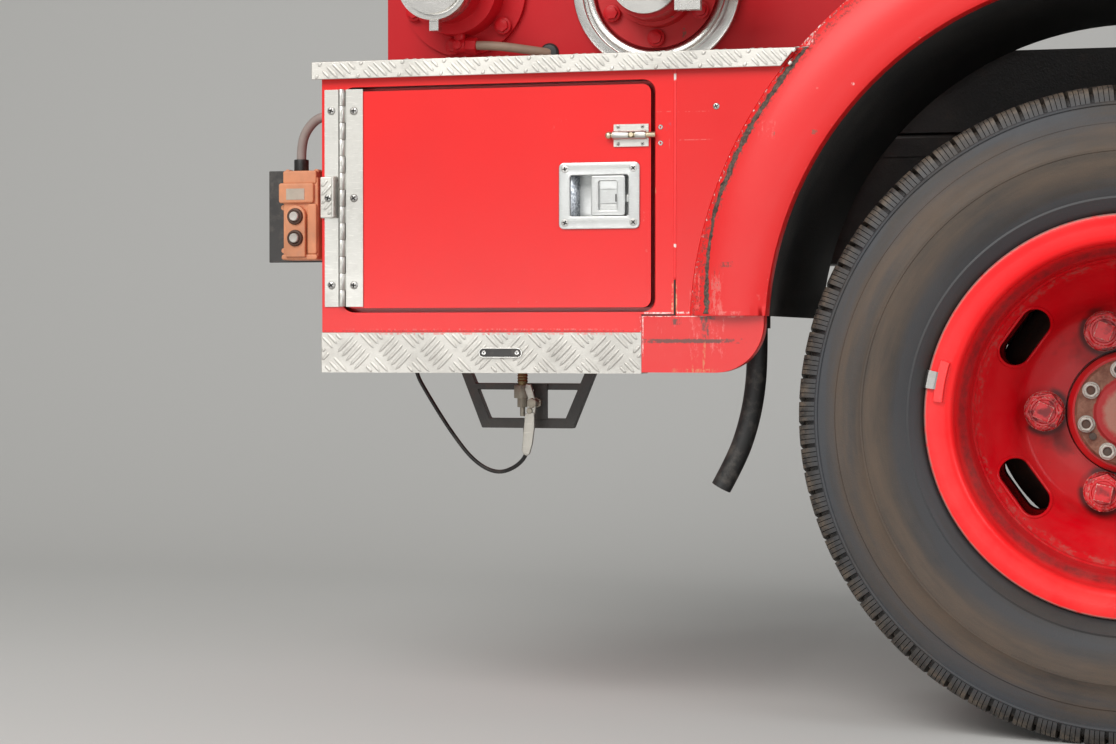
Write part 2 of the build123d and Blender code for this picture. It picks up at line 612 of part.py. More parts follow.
def half_shaft():
    """Drive flange with its nuts, forged on the shaft that runs inside the axle."""
    end = HUB_FACE_Y - HUB_NOSE_L
    outer = end - DRIVE_FLANGE_T
    outline = [
        (outer - DRIVE_BOSS_T, 0.0), (outer - DRIVE_BOSS_T, DRIVE_BOSS_R - 2), (outer, DRIVE_BOSS_R),
        (outer, DRIVE_FLANGE_R - 3), (outer + 3, DRIVE_FLANGE_R), (end, DRIVE_FLANGE_R),
        (end, HALF_SHAFT_R), (AXLE_INBOARD_Y, HALF_SHAFT_R), (AXLE_INBOARD_Y, 0.0),
    ]
    shaft = spun(outline, AXLE_H)
    for x, h in ring_points(DRIVE_NUTS, DRIVE_NUT_R, 15.0):
        hexagon = Pos(x, up(AXLE_H) + h) * RegularPolygon(DRIVE_NUT_AF / 2, 6, major_radius=False)
        shaft += along_y(hexagon, outer - 10, outer)
    return shaft


def axle_tube():
    """Axle housing's end: tube, brake flange and hollow spindle with two bearing lands."""
    face = HUB_FACE_Y + HUB_TAIL_L
    bore = HALF_SHAFT_R + 7
    land = HUB_BORE_R - BEARING_GAP
    plate = LINER_INBOARD_Y - 5
    outline = [
        (AXLE_INBOARD_Y, bore), (AXLE_INBOARD_Y, AXLE_TUBE_R), (plate + 12, AXLE_TUBE_R),
        (plate + 12, AXLE_TUBE_R + 22), (plate, AXLE_TUBE_R + 22), (plate, AXLE_TUBE_R - 8),
        (face + 6, AXLE_TUBE_R - 8), (face + 6, land - 4), (face - 4, land - 4), (face - 4, land),
        (face - 26, land), (face - 26, land - 8), (HUB_FACE_Y - 20, land - 8), (HUB_FACE_Y - 20, land),
        (HUB_FACE_Y - 42, land), (HUB_FACE_Y - 42, bore),
    ]
    return spun(outline, AXLE_H)


def backing_plate():
    """Pressed plate that closes the drum."""
    y1 = LINER_INBOARD_Y - 5
    t = SHEET_T
    hole, r = AXLE_TUBE_R - 2 * t, DRUM_R + 2 * t
    outline = [(y1 - t, hole), (y1, hole), (y1, r), (y1 - 2 * t, r), (y1 - 2 * t, r - t), (y1 - t, r - t)]
    return spun(outline, AXLE_H)


SPRING_Y1 = RAIL_OUT_Y - SPRING_TO_RAIL
SPRING_Y0 = SPRING_Y1 - SPRING_W
SEAT_T = 16.0
SPRING_LOW_H = AXLE_H + AXLE_TUBE_R + SEAT_T
SPRING_STACK = LEAF_PLATE_T * len(LEAF_LENGTHS)
SPRING_BEND_R = LEAF_LENGTHS[0] ** 2 / (8 * SPRING_SAG)
SPRING_TOP_H = SPRING_LOW_H + SPRING_STACK
EYE_X = LEAF_LENGTHS[0] / 2
EYE_H = SPRING_TOP_H + SPRING_SAG + EYE_R - LEAF_PLATE_T - 2


def leaf_spring():
    """Leaf pack bent to one centre, stepped at its ends, with two rolled eyes."""
    centre_z = up(SPRING_TOP_H) + SPRING_BEND_R
    pack = None
    for i, length in enumerate(LEAF_LENGTHS):
        r = SPRING_BEND_R + i * LEAF_PLATE_T
        outer = Pos(0, centre_z) * Circle(r + LEAF_PLATE_T) - Pos(0, centre_z) * Circle(r)
        strip = outer & (Pos(0, up(SPRING_LOW_H) + 100) * Rectangle(length, 260))
        leaf = along_y(strip, SPRING_Y0, SPRING_Y1)
        pack = leaf if pack is None else pack + leaf
    for side in (-1, 1):
        ring = disc(side * EYE_X, up(EYE_H), EYE_R, SPRING_Y0, SPRING_Y1)
        pack += ring
    for side in (-1, 1):
        pack -= disc(side * EYE_X, up(EYE_H), EYE_PIN_R, SPRING_Y0 - 1, SPRING_Y1 + 1)
    return pack


def spring_seat():
    """Saddle between the axle's tube and the spring."""
    top, base = up(SPRING_LOW_H), up(AXLE_H)
    saddle = block(-60, 60, SPRING_Y0, SPRING_Y1, base + 20, top)
    return saddle - disc(0, base, AXLE_TUBE_R, SPRING_Y0 - 1, SPRING_Y1 + 1)


U_BOLT_R = 7.0
U_BOLT_X = 68.0


def spring_u_bolts():
    """Two U-bolts over the spring, and the plate below that they pull up."""
    y0, y1 = SPRING_Y0 - U_BOLT_R, SPRING_Y1 + U_BOLT_R
    low, high = up(AXLE_H - AXLE_TUBE_R - 22), up(SPRING_TOP_H) + U_BOLT_R + 1
    plate_z1 = up(AXLE_H - AXLE_TUBE_R)
    made = block(-92, 92, SPRING_Y0 - 16, RAIL_OUT_Y + 4, plate_z1 - 14, plate_z1)
    for x in (-U_BOLT_X, U_BOLT_X):
        for y in (y0, y1):
            made += post(x, y, U_BOLT_R, low - 12, high)
        bridge = Pos(x, (y0 + y1) / 2, high) * Rot(90, 0, 0) * Cylinder(U_BOLT_R, y1 - y0 + 2 * U_BOLT_R)
        made += bridge
    return made


def spring_hanger():
    """Front bracket on the rail, forked round the fixed eye."""
    x, z = -EYE_X, up(EYE_H)
    y0 = SPRING_Y0 - 8
    foot = block(x - 60, x + 60, RAIL_OUT_Y - 5.5, RAIL_OUT_Y, z + 20, RAIL_H / 2 - 20)
    made = foot
    for a, b in ((y0, SPRING_Y0 - 0.5), (RAIL_OUT_Y - 5.5, RAIL_OUT_Y)):
        ear = disc(x, z, EYE_R + 2, a, b) + block(x - EYE_R - 2, x + EYE_R + 2, a, b, z, z + 70)
        made += ear
    made += block(x - EYE_R - 2, x + EYE_R + 2, y0, RAIL_OUT_Y, z + EYE_R + 12, z + 70)
    return made + disc(x, z, EYE_PIN_R - 0.05, y0, RAIL_OUT_Y)


def rear_shackle():
    """Bracket boss on the rail and the two links that hang the spring's rear eye."""
    x, z = EYE_X, up(EYE_H)
    top = z + SHACKLE_L
    y0 = SPRING_Y0 - 8
    made = disc(x, top, 30, RAIL_OUT_Y - 5.5, RAIL_OUT_Y) + disc(x, top, EYE_PIN_R, y0, RAIL_OUT_Y)
    made += disc(x, top, EYE_R, SPRING_Y0 + 4, SPRING_Y1 - 4)
    for a, b in ((y0, SPRING_Y0 - 0.5), (RAIL_OUT_Y - 5.5, RAIL_OUT_Y - 0.5)):
        made += disc(x, z, 18, a, b) + block(x - 18, x + 18, a, b, z, top) + disc(x, top, 18, a, b)
    return made + disc(x, z, EYE_PIN_R - 0.05, y0, RAIL_OUT_Y - 0.5)


DRAIN_Y = -470.0
DRAIN_BAR = 12.0
DRAIN_TOP_X = (-822.0, -612.0)
DRAIN_LOW_X = (-776.0, -660.0)
DRAIN_DROP, DRAIN_SHELF_DROP = 117.0, 66.0
DRAIN_LOW_H, DRAIN_MID_H = SILL_H1 - DRAIN_DROP, SILL_H1 - DRAIN_SHELF_DROP
COCK_X = -721.0
COCK_OUT = 11.0
COCK_HEX_R = 11.0


def drain_bracket():
    """Welded trapezoid of square bar that guards the drain cock."""
    top, low, mid = up(SILL_H1), up(DRAIN_LOW_H), up(DRAIN_MID_H)
    (tx0, tx1), (lx0, lx1) = DRAIN_TOP_X, DRAIN_LOW_X
    outer = make_face(Polyline((tx0, top), (lx0, low), (lx1, low), (tx1, top), close=True))
    bar = DRAIN_BAR
    slant = bar * 0.8
    inside = ((tx0 + bar, top + 1), (lx0 + slant, low + bar), (lx1 - slant, low + bar), (tx1 - bar, top + 1))
    inner = make_face(Polyline(*inside, close=True))
    frame = along_y(outer - inner, DRAIN_Y - bar / 2, DRAIN_Y + bar / 2)
    shelf = block(lx0 - 12, lx1 + 12, DRAIN_Y - bar / 2, DRAIN_Y + bar / 2, mid - 4, mid + 4)
    return frame + shelf


def drain_cock():
    """Cock body with its hexagon, hung under the locker's floor."""
    y = DRAIN_Y - DRAIN_BAR / 2 - COCK_OUT
    z = up(DRAIN_MID_H)
    pipe = post(COCK_X, y, 8, z - 6, up(SILL_H1))
    hexagon = Pos(COCK_X, y, z - 14) * extrude(RegularPolygon(COCK_HEX_R, 6), amount=16)
    return pipe + hexagon + post(COCK_X, y, 7, z - 36, z - 12)


def drain_lever():
    """Flat galvanised lever, widest at its middle, hanging from the cock's stem."""
    y = DRAIN_Y - DRAIN_BAR / 2 - COCK_OUT
    z = up(DRAIN_MID_H)
    points = (
        (COCK_X + 8, z + 4), (COCK_X + 20, z + 4), (COCK_X + 19, z - 26), (COCK_X + 14, z - 84),
        (COCK_X - 1, z - 84), (COCK_X + 2, z - 40),
    )
    front = y - COCK_HEX_R * math.cos(math.radians(30))
    blade = along_y(make_face(Polyline(*points, close=True)), front - 7, front - 3)
    return blade + disc(COCK_X + 4, z - 6, 4, front - 3, front)


RING_X, RING_H = -585.0, SHELF_H + 114.0
RING_R, RING_IN_R, RING_T = 109.0, 80.0, 14.0
CAP_X, CAP_H = -852.0, SHELF_H + 115.0
PORT_NECK_R = 48.0
HANDLE_R = 30.0
HANDLE_X0, HANDLE_X1 = 20.0, 132.0


def suction_port():
    """Round inlet: flange, bowed valve housing and its bright trim ring."""
    z = up(RING_H)
    flange = disc(RING_X, z, RING_IN_R - 2, BAY_Y - 8, BAY_Y)
    neck = disc(RING_X, z, PORT_NECK_R, BAY_Y - 70, BAY_Y - 8)
    neck += disc(RING_X, z, PORT_NECK_R + 5, BAY_Y - 30, BAY_Y - 8)
    for x, h in ring_points(6, 66, 30.0):
        flange += disc(RING_X + x, z + h, 8, BAY_Y - 15, BAY_Y - 8)
    return flange + neck


def suction_ring():
    z = up(RING_H)
    ring = disc(RING_X, z, RING_R, BAY_Y - RING_T, BAY_Y)
    return ring - disc(RING_X, z, RING_IN_R, BAY_Y - RING_T - 1, BAY_Y + 1)


def suction_cap():
    """Inlet's blind cap, turned by the thick round handle that lies across it."""
    z = up(RING_H)
    y = BAY_Y - 70
    cap = disc(RING_X, z, PORT_NECK_R - 4, y - 12, y)
    middle, length = RING_X + (HANDLE_X0 + HANDLE_X1) / 2, HANDLE_X1 - HANDLE_X0
    handle = Pos(middle, y - HANDLE_R - 8, z + 8) * Rot(0, 90, 0) * Cylinder(HANDLE_R, length)
    lug = block(RING_X + 44, RING_X + 76, y - 44, y - 32, z - 46, z)
    return cap + handle + lug


def delivery_port():
    """Outlet: flange with six bolts, neck and valve body."""
    z = up(CAP_H)
    port = disc(CAP_X + 12, z, 82, BAY_Y - 8, BAY_Y)
    for x, h in ring_points(6, 70, 20.0):
        port += disc(CAP_X + 12 + x, z + h, 7, BAY_Y - 14, BAY_Y - 8)
    port += disc(CAP_X + 8, z, 58, BAY_Y - 46, BAY_Y - 8)
    return port + disc(CAP_X + 4, z, 44, BAY_Y - 78, BAY_Y - 46)


def delivery_cap():
    z = up(CAP_H)
    y = BAY_Y - 78
    cap = disc(CAP_X, z, 47, y - 26, y) + disc(CAP_X, z, 40, y - 32, y - 26)
    return cap + block(CAP_X - 6, CAP_X + 6, y - 22, y - 8, z - 60, z - 40)


PENDANT_X0, PENDANT_X1 = -1035.0, -984.0
PENDANT_H0, PENDANT_H1 = SILL_H1 + 91.0, SILL_H1 + 203.0
PENDANT_Y = -460.0
PENDANT_DEEP = 40.0
PENDANT_PLATE_X0 = -1062.0
PENDANT_PLATE_EDGE = 2.0
PENDANT_NECK = 14.0
BUTTONS_X, BUTTON_HS = -1009.0, (609.0, 583.0)


def pendant_plate():
    """Dark plate on the locker's front end, where the push-button box hangs."""
    y = PENDANT_Y
    low, high = up(PENDANT_H0 - PENDANT_PLATE_EDGE), up(PENDANT_H1 + PENDANT_PLATE_EDGE)
    plate = block(PENDANT_PLATE_X0, LOCKER_X0, y, y + SKIN_T, low, high)
    return plate + block(LOCKER_X0 - SKIN_T, LOCKER_X0, y, y + PENDANT_DEEP, low, high)


def pendant_body():
    """Moulded push-button box, waisted above its foot."""
    w = PENDANT_X1 - PENDANT_X0
    x = (PENDANT_X0 + PENDANT_X1) / 2
    z = up((PENDANT_H0 + PENDANT_H1) / 2)
    tall = PENDANT_H1 - PENDANT_H0
    face = PENDANT_Y - PENDANT_DEEP
    box = along_y(Pos(x, z) * rounded(w, tall, 6), face + 8, PENDANT_Y)
    front = along_y(Pos(x, z) * rounded(w - 8, tall - 6, 5), face, face + 8)
    neck = post(x - 1, PENDANT_Y - PENDANT_DEEP / 2, 9, up(PENDANT_H1), up(PENDANT_H1) + PENDANT_NECK)
    return box + front + neck


def pendant_buttons():
    y = PENDANT_Y - PENDANT_DEEP
    made = []
    for h in BUTTON_HS:
        made.append(disc(BUTTONS_X, up(h), 11, y - 4, y) + disc(BUTTONS_X, up(h), 7, y - 8, y - 4))
    return Compound(made)


def cord_tube(points, radii, r):
    """Plain tube along straight runs joined by tangent arcs."""
    path = FilletPolyline(*points, radius=radii)
    start = path @ 0
    return sweep(Plane(origin=start, z_dir=path % 0) * Circle(r), path=path)


def cord_radii(points):
    """Arc at each corner: 0.45 of its shorter run over the tangent of half the turn."""
    spots = [Vector(*p) for p in points]
    radii = []
    for a, b, c in zip(spots, spots[1:], spots[2:]):
        turn = math.radians((b - a).get_angle(c - b))
        radii.append(0.45 * min((b - a).length, (c - b).length) / math.tan(turn / 2))
    return radii


CABLE_R = 2.5
CABLE_POINTS = [
    (-880.0, -430.0, up(SILL_H1 - 12)), (-880.0, -430.0, up(SILL_H1 - 45)),
    (-857.0, -431.0, up(SILL_H1 - 83)), (-829.0, -434.0, up(DRAIN_LOW_H - 7)),
    (-798.0, -438.0, up(DRAIN_LOW_H - 44)), (-766.0, -444.0, up(DRAIN_LOW_H - 59)),
    (-737.0, -454.0, up(DRAIN_LOW_H - 49)), (-719.0, -466.0, up(DRAIN_LOW_H - 30)),
    (-719.0, -466.0, up(DRAIN_LOW_H - 8)),
]
HOSE_R = 12.5
HOSE_POINTS = [
    (-431.0, -488.0, up(SILL_H1 + 5)), (-431.0, -488.0, up(SILL_H1 - 35)),
    (-434.0, -490.0, up(SILL_H1 - 75)), (-442.0, -490.0, up(SILL_H1 - 113)),
    (-455.0, -490.0, up(SILL_H1 - 150)), (-474.0, -491.0, up(SILL_H1 - 185)),
]
LEAD_R = 6.0
LEAD_FOOT = up(PENDANT_H1) + PENDANT_NECK
LEAD_POINTS = [
    (-1010.5, -480.0, LEAD_FOOT), (-1010.5, -480.0, LEAD_FOOT + 20), (-1002.0, -480.0, LEAD_FOOT + 40),
    (-984.0, -480.0, LEAD_FOOT + 55), (-963.0, -480.0, LEAD_FOOT + 55),
]


def gland(points, r, depth):
    """Collar on the surface that a cord leaves, round its first stretch."""
    x, y, z = points[0]
    return post(x, y, r, z, z + depth)


def cable_gland():
    """Collar under the locker's floor, where the thin cable comes out."""
    return gland(CABLE_POINTS, CABLE_R + 4, up(SILL_H1) - CABLE_POINTS[0][2])


def cable_eye():
    """Lug on the guard's lower bar that takes the cable's far end."""
    x, y, z = CABLE_POINTS[-1]
    top = block(x - 6, x + 6, y - 4, y + 4, z, up(DRAIN_LOW_H))
    return top


def hose_spout():
    """Spout that the drain hose is pushed on, with its bracket to the side panel."""
    x, y, z = HOSE_POINTS[0]
    spout = post(x, y, HOSE_R + 3, z, z + 26)
    return spout + block(x - 14, x + 14, INNER_FACE_Y, y - HOSE_R, z + 2, z + 12)


def lead_gland():
    """Grommet in the locker's front wall."""
    x, y, z = LEAD_POINTS[-1]
    wall = LOCKER_X0
    return Pos((x + wall) / 2, y, z) * Rot(0, 90, 0) * Cylinder(LEAD_R + 5, wall - x)


NODES = {
    "chassis_rail": chassis_rail(),
    "subframe": subframe(),
    "body_crossmembers": body_crossmembers(),
    "body_floor": body_floor(),
    "outriggers": Compound([outrigger(x) for x in OUTRIGGER_X]),
    "locker_box": locker_box(),
    "locker_face": locker_face(),
    "door_stop": door_stop(),
    "side_panel": side_panel(),
    "corner_panel": corner_panel(),
    "quarter_panel": quarter_panel(),
    "arch_flare": arch_flare(),
    "arch_liner": arch_liner(),
    "bay_wall": bay_wall(),
    "shelf_plate": shelf_plate(),
    "sill_beam": sill_beam(),
    "sill_plate": sill_plate(),
    "hinge_fixed_leaf": hinge_leaf(False),
    "hinge_pin": hinge_pin(),
    "door_stop_clip": door_stop_clip(),
    "suction_port": suction_port(),
    "suction_ring": suction_ring(),
    "suction_cap": suction_cap(),
    "delivery_port": delivery_port(),
    "delivery_cap": delivery_cap(),
    "drain_bracket": drain_bracket(),
    "drain_cock": drain_cock(),
    "drain_lever": drain_lever(),
    "cable_fittings": Compound([cable_gland(), cable_eye()]),
    "drain_cable": cord_tube(CABLE_POINTS, cord_radii(CABLE_POINTS), CABLE_R),
    "hose_spout": hose_spout(),
    "drain_hose": cord_tube(HOSE_POINTS, cord_radii(HOSE_POINTS), HOSE_R),
    "pendant_plate": pendant_plate(),
    "pendant_body": pendant_body(),
    "pendant_buttons": pendant_buttons(),
    "lead_gland": lead_gland(),
    "pendant_lead": cord_tube(LEAD_POINTS, cord_radii(LEAD_POINTS), LEAD_R),
    "leaf_spring": leaf_spring(),
    "spring_seat": spring_seat(),
    "spring_u_bolts": spring_u_bolts(),
    "spring_hanger": spring_hanger(),
    "rear_shackle": rear_shackle(),
    "axle_tube": axle_tube(),
    "backing_plate": backing_plate(),
    "door": door(),
    "hinge_door_leaf": hinge_leaf(True),
    "latch_body": latch_body(),
    "latch_paddle": latch_paddle(),
    "bolt_base": bolt_base(),
    "bolt_rod": bolt_rod(),
    "tyre_outer": tyre(OUTER_TYRE_Y),
    "tyre_inner": tyre(INNER_TYRE_Y),
    "wheel_outer": disc_wheel(OUTER_TYRE_Y, 1),
    "wheel_inner": disc_wheel(INNER_TYRE_Y, -1),
    "wheel_nuts": wheel_nuts(),
    "hub": hub(),
    "brake_drum": brake_drum(),
    "half_shaft": half_shaft(),
}

os.makedirs("parts", exist_ok=True)
for name, shape in NODES.items():
    export_step(shape, "parts/" + name + ".step")
for name, points in (("cable", CABLE_POINTS), ("hose", HOSE_POINTS), ("lead", LEAD_POINTS)):
    print(name, "arc radii", [round(r, 1) for r in cord_radii(points)])
print(len(NODES), "nodes")
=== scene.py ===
# %% [markdown]
# # A fire engine's side: locker, wheel arch and twin wheel
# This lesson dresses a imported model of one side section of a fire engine. The model is a fixed
# frame: it says where every panel, hinge and wheel is, and nothing here moves it. Each step says
# what a piece is on the real vehicle, how it could be made, and why one way was chosen.
# Lengths are metres, X runs to the vehicle's rear, Y runs inboard and Z runs up.

# %% Load the frame
import math

import bmesh
import bpy
from mathutils import Matrix, Vector, noise


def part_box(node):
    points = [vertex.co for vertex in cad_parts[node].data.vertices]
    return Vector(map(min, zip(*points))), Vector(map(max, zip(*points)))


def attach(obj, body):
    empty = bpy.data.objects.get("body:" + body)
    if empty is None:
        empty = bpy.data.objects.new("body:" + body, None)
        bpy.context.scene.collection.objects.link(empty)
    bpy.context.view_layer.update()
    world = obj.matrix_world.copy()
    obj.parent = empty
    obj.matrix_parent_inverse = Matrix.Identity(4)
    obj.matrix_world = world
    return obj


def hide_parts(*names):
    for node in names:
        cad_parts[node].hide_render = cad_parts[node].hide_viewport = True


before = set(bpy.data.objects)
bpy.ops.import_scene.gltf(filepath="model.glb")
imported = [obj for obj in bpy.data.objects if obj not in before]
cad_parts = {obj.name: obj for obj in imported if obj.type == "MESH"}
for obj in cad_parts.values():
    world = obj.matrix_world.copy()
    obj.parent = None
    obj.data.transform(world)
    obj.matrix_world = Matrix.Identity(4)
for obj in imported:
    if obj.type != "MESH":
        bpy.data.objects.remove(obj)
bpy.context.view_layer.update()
scene = bpy.context.scene
MM = 0.001
FLOOR_Z = -0.650
AXLE_Z = -0.280


def linked(name, data):
    """A new object in the scene that holds the given mesh, curve, lamp or camera."""
    made = bpy.data.objects.new(name, data)
    scene.collection.objects.link(made)
    return made


# %% [markdown]
# ## The camera
# The picture is taken from opposite the wheel, a little above its axle, and looks slightly towards
# the front, with a fairly long lens. The place and lens were worked out from the tyre's outline,
# the circle of wheel studs and the level edges of the locker, so they are real sizes and not guesses.

# %% Camera
CAMERA_SPOT = (0.0201, -3.1996, -0.1894)
CAMERA_YAW, CAMERA_PITCH = 14.40, -0.89
FOCAL_PX, FRAME_PX = 2300.0, 1116.0

lens = bpy.data.cameras.new("camera")
lens.sensor_width = 36.0
lens.lens = 36.0 * FOCAL_PX / FRAME_PX
lens.clip_end = 60.0
camera = linked("camera", lens)
camera.location = CAMERA_SPOT
camera.rotation_euler = (math.radians(90 + CAMERA_PITCH), 0, math.radians(CAMERA_YAW))
scene.camera = camera
print("lens", round(lens.lens, 1), "mm")

# %% [markdown]
# ## Material helpers
# Every finish is made of nodes. A few effects turn up again and again, such as road dust that
# lies thickest low down, fine scratches, and chips in the paint. Each is one shader group with
# named sockets, built once and placed in each material with its own numbers.

# %% A small builder for node trees
# A Mix node keeps sockets for each kind of data, and these are the places of the colour ones
MIX_FACTOR, MIX_A, MIX_B, MIX_RESULT = 0, 6, 7, 2


class Net:
    """A node tree with short calls for adding and joining nodes."""

    def __init__(self, tree):
        self.tree = tree

    def add(self, kind, values=(), **settings):
        made = self.tree.nodes.new(kind)
        for key, value in settings.items():
            setattr(made, key, value)
        for key, value in dict(values).items():
            self.feed(value, made.inputs[key])
        return made

    def feed(self, value, socket):
        if isinstance(value, bpy.types.NodeSocket):
            self.tree.links.new(value, socket)
        else:
            socket.default_value = value

    def math(self, operation, a, b=0.0, clamp=False):
        return self.add("ShaderNodeMath", {0: a, 1: b}, operation=operation, use_clamp=clamp).outputs[0]

    def times(self, a, b, clamp=False):
        return self.math("MULTIPLY", a, b, clamp)

    def plus(self, a, b, clamp=False):
        return self.math("ADD", a, b, clamp)

    def spread(self, value, low, high, to_low=0.0, to_high=1.0):
        values = {"Value": value, "From Min": low, "From Max": high, "To Min": to_low, "To Max": to_high}
        return self.add("ShaderNodeMapRange", values).outputs[0]

    def blend(self, mask, a, b):
        made = self.add("ShaderNodeMix", data_type="RGBA")
        self.feed(mask, made.inputs[MIX_FACTOR])
        self.feed(a, made.inputs[MIX_A])
        self.feed(b, made.inputs[MIX_B])
        return made.outputs[MIX_RESULT]

    def noise(self, vector, scale, detail=3.0, rough=0.55):
        values = {"Vector": vector, "Scale": scale, "Detail": detail, "Roughness": rough}
        return self.add("ShaderNodeTexNoise", values).outputs["Fac"]

    def stretched(self, vector, scale, turn=(0.0, 0.0, 0.0)):
        values = {"Vector": vector, "Scale": scale, "Rotation": turn}
        return self.add("ShaderNodeMapping", values).outputs["Vector"]


def effect(name, inputs, outputs=("Mask",)):
    """A new shader group with named number sockets, and a Net to fill it."""
    tree = bpy.data.node_groups.new(name, "ShaderNodeTree")
    for label, value in inputs.items():
        socket = tree.interface.new_socket(name=label, in_out="INPUT", socket_type="NodeSocketFloat")
        socket.default_value = value
    for label in outputs:
        tree.interface.new_socket(name=label, in_out="OUTPUT", socket_type="NodeSocketFloat")
    net = Net(tree)
    given = net.add("NodeGroupInput").outputs
    result = net.add("NodeGroupOutput").inputs
    spot = net.add("ShaderNodeTexCoord").outputs["Object"]
    return tree, net, given, result, spot


# %% [markdown]
# ## Shared effects
# Road dust is cloudy noise that is weighted by height over the floor. Scratches are noise that is
# stretched thin, so that only its sharpest ridges show. Chips are the rare peaks of a fine noise,
# inside larger patches. Grain is a plain fine height for cast and sprayed surfaces.

# %% Road dust
dust_group, net, given, result, spot = effect(
    "road_dust", {"Scale": 9.0, "Amount": 0.5, "Low": -0.6, "High": 0.1}
)
height = net.add("ShaderNodeSeparateXYZ", {"Vector": spot}).outputs["Z"]
lowness = net.spread(height, given["High"], given["Low"])
cloud = net.noise(spot, given["Scale"], 6.0, 0.65)
patch = net.spread(cloud, 0.32, 0.72)
weighted = net.times(patch, net.plus(lowness, 0.25))
net.feed(net.times(weighted, given["Amount"], clamp=True), result["Mask"])

# %% Fine scratches
scratch_group, net, given, result, spot = effect("fine_scratches", {"Scale": 60.0, "Amount": 0.5})
masks = []
for turn, squeeze in ((0.2, 9.0), (1.1, 14.0), (-0.7, 11.0)):
    line = net.stretched(spot, (1.0, 1.0, squeeze), (0.0, turn, 0.0))
    ridge = net.spread(net.noise(line, given["Scale"], 2.0, 0.5), 0.655, 0.70)
    masks.append(ridge)
ridges = net.math("MAXIMUM", net.math("MAXIMUM", masks[0], masks[1]), masks[2])
net.feed(net.times(ridges, given["Amount"], clamp=True), result["Mask"])

# %% Chips
chip_group, net, given, result, spot = effect("paint_chips", {"Scale": 160.0, "Cover": 0.5, "Patch": 14.0})
fine = net.noise(spot, given["Scale"], 4.0, 0.6)
region = net.spread(net.noise(spot, given["Patch"], 2.0, 0.5), 0.45, 0.75)
level = net.times(region, given["Cover"])
threshold = net.math("SUBTRACT", 0.80, net.times(level, 0.34))
net.feed(net.spread(fine, threshold, net.plus(threshold, 0.02)), result["Mask"])

# %% Grain
grain_group, net, given, result, spot = effect("surface_grain", {"Scale": 400.0, "Coarse": 30.0}, ("Height",))
small = net.noise(spot, given["Scale"], 3.0, 0.6)
large = net.noise(spot, given["Coarse"], 2.0, 0.5)
net.feed(net.plus(small, net.times(large, 0.6)), result["Height"])
print("shader groups:", [g.name for g in bpy.data.node_groups])

# %% [markdown]
# ## Finishes
# A finish function starts a material, places the shared effects in it and joins them to one
# Principled shader. Gloss, coat and metalness that are the same all over are set on the shader.

# %% Start a material
FINISHES = {}
COAT_ROUGHNESS = 0.08


def start_material(name, roughness, metallic=0.0, coat=0.0):
    """A new material, its Net, its Principled shader and the shaded point's own place."""
    material = bpy.data.materials.new(name)
    material.use_nodes = True
    net = Net(material.node_tree)
    shader = net.tree.nodes["Principled BSDF"]
    even = {
        "Roughness": roughness, "Metallic": metallic, "Coat Weight": coat, "Coat Roughness": COAT_ROUGHNESS,
    }
    for label, value in even.items():
        net.feed(value, shader.inputs[label])
    spot = net.add("ShaderNodeTexCoord").outputs["Object"]
    FINISHES[name] = material
    return material, net, shader, spot


def use_effect(net, group, **values):
    return net.add("ShaderNodeGroup", values, node_tree=group).outputs[0]


def grainy(net, scale, coarse):
    return use_effect(net, grain_group, Scale=scale, Coarse=coarse)


def bump(net, shader, height, strength, distance):
    values = {"Height": height, "Strength": strength, "Distance": distance}
    made = net.add("ShaderNodeBump", values)
    net.feed(made.outputs["Normal"], shader.inputs["Normal"])


def roughen(net, shader, base, *shares):
    """Roughness from a base value, raised by a share of each mask."""
    total = base
    for mask, share in shares:
        total = net.plus(net.times(mask, share), total, clamp=True)
    net.feed(total, shader.inputs["Roughness"])


def shade(tone, factor):
    """A tone made darker or lighter."""
    return tuple(min(1.0, c * factor) for c in tone[:3]) + (1.0,)


# %% Marks at known places
ARCH_Z = -0.190


def near_place(net, spot, ragged, x, z, wide, tall):
    """Mask of an upright patch on the vehicle's side, full inside it and ragged at its rim."""
    values = {"Vector": spot, "Location": (-x / wide, 0.0, -z / tall), "Scale": (1.0 / wide, 0.0, 1.0 / tall)}
    moved = net.add("ShaderNodeMapping", values).outputs["Vector"]
    sizes = net.add("ShaderNodeVectorMath", {0: moved}, operation="ABSOLUTE").outputs["Vector"]
    parts = net.add("ShaderNodeSeparateXYZ", {"Vector": sizes}).outputs
    reach = net.plus(net.math("MAXIMUM", parts["X"], parts["Z"]), ragged)
    return net.spread(reach, 1.0, 0.7)


def marked(net, spot, colour, marks):
    """Colour with scuffs on it: x and height over the floor, half sizes, how broken, strength, tone."""
    streaky = net.noise(net.stretched(spot, (1.0, 1.0, 0.2)), 330.0, 4.0, 0.65)
    even = net.noise(spot, 260.0, 4.0, 0.65)
    broken_up = net.plus(net.times(streaky, 0.6), net.times(even, 0.4))
    ragged = net.times(net.math("SUBTRACT", even, 0.5), 1.6)
    for x, height, wide, tall, broken, strength, tone in marks:
        where = near_place(net, spot, ragged, x * MM, height * MM + FLOOR_Z, wide * MM, tall * MM)
        mask = net.times(where, net.spread(broken_up, broken, broken + 0.08, 0.0, strength))
        colour = net.blend(mask, colour, tone)
    return colour


def line_distance(net, spot, x, z):
    """Distance in metres from a line along Y, such as the arch's centre, the axle or a stud."""
    values = {"Vector": spot, "Location": (-x, 0.0, -z), "Scale": (1.0, 0.0, 1.0)}
    moved = net.add("ShaderNodeMapping", values).outputs["Vector"]
    return net.add("ShaderNodeVectorMath", {0: moved}, operation="LENGTH").outputs["Value"]


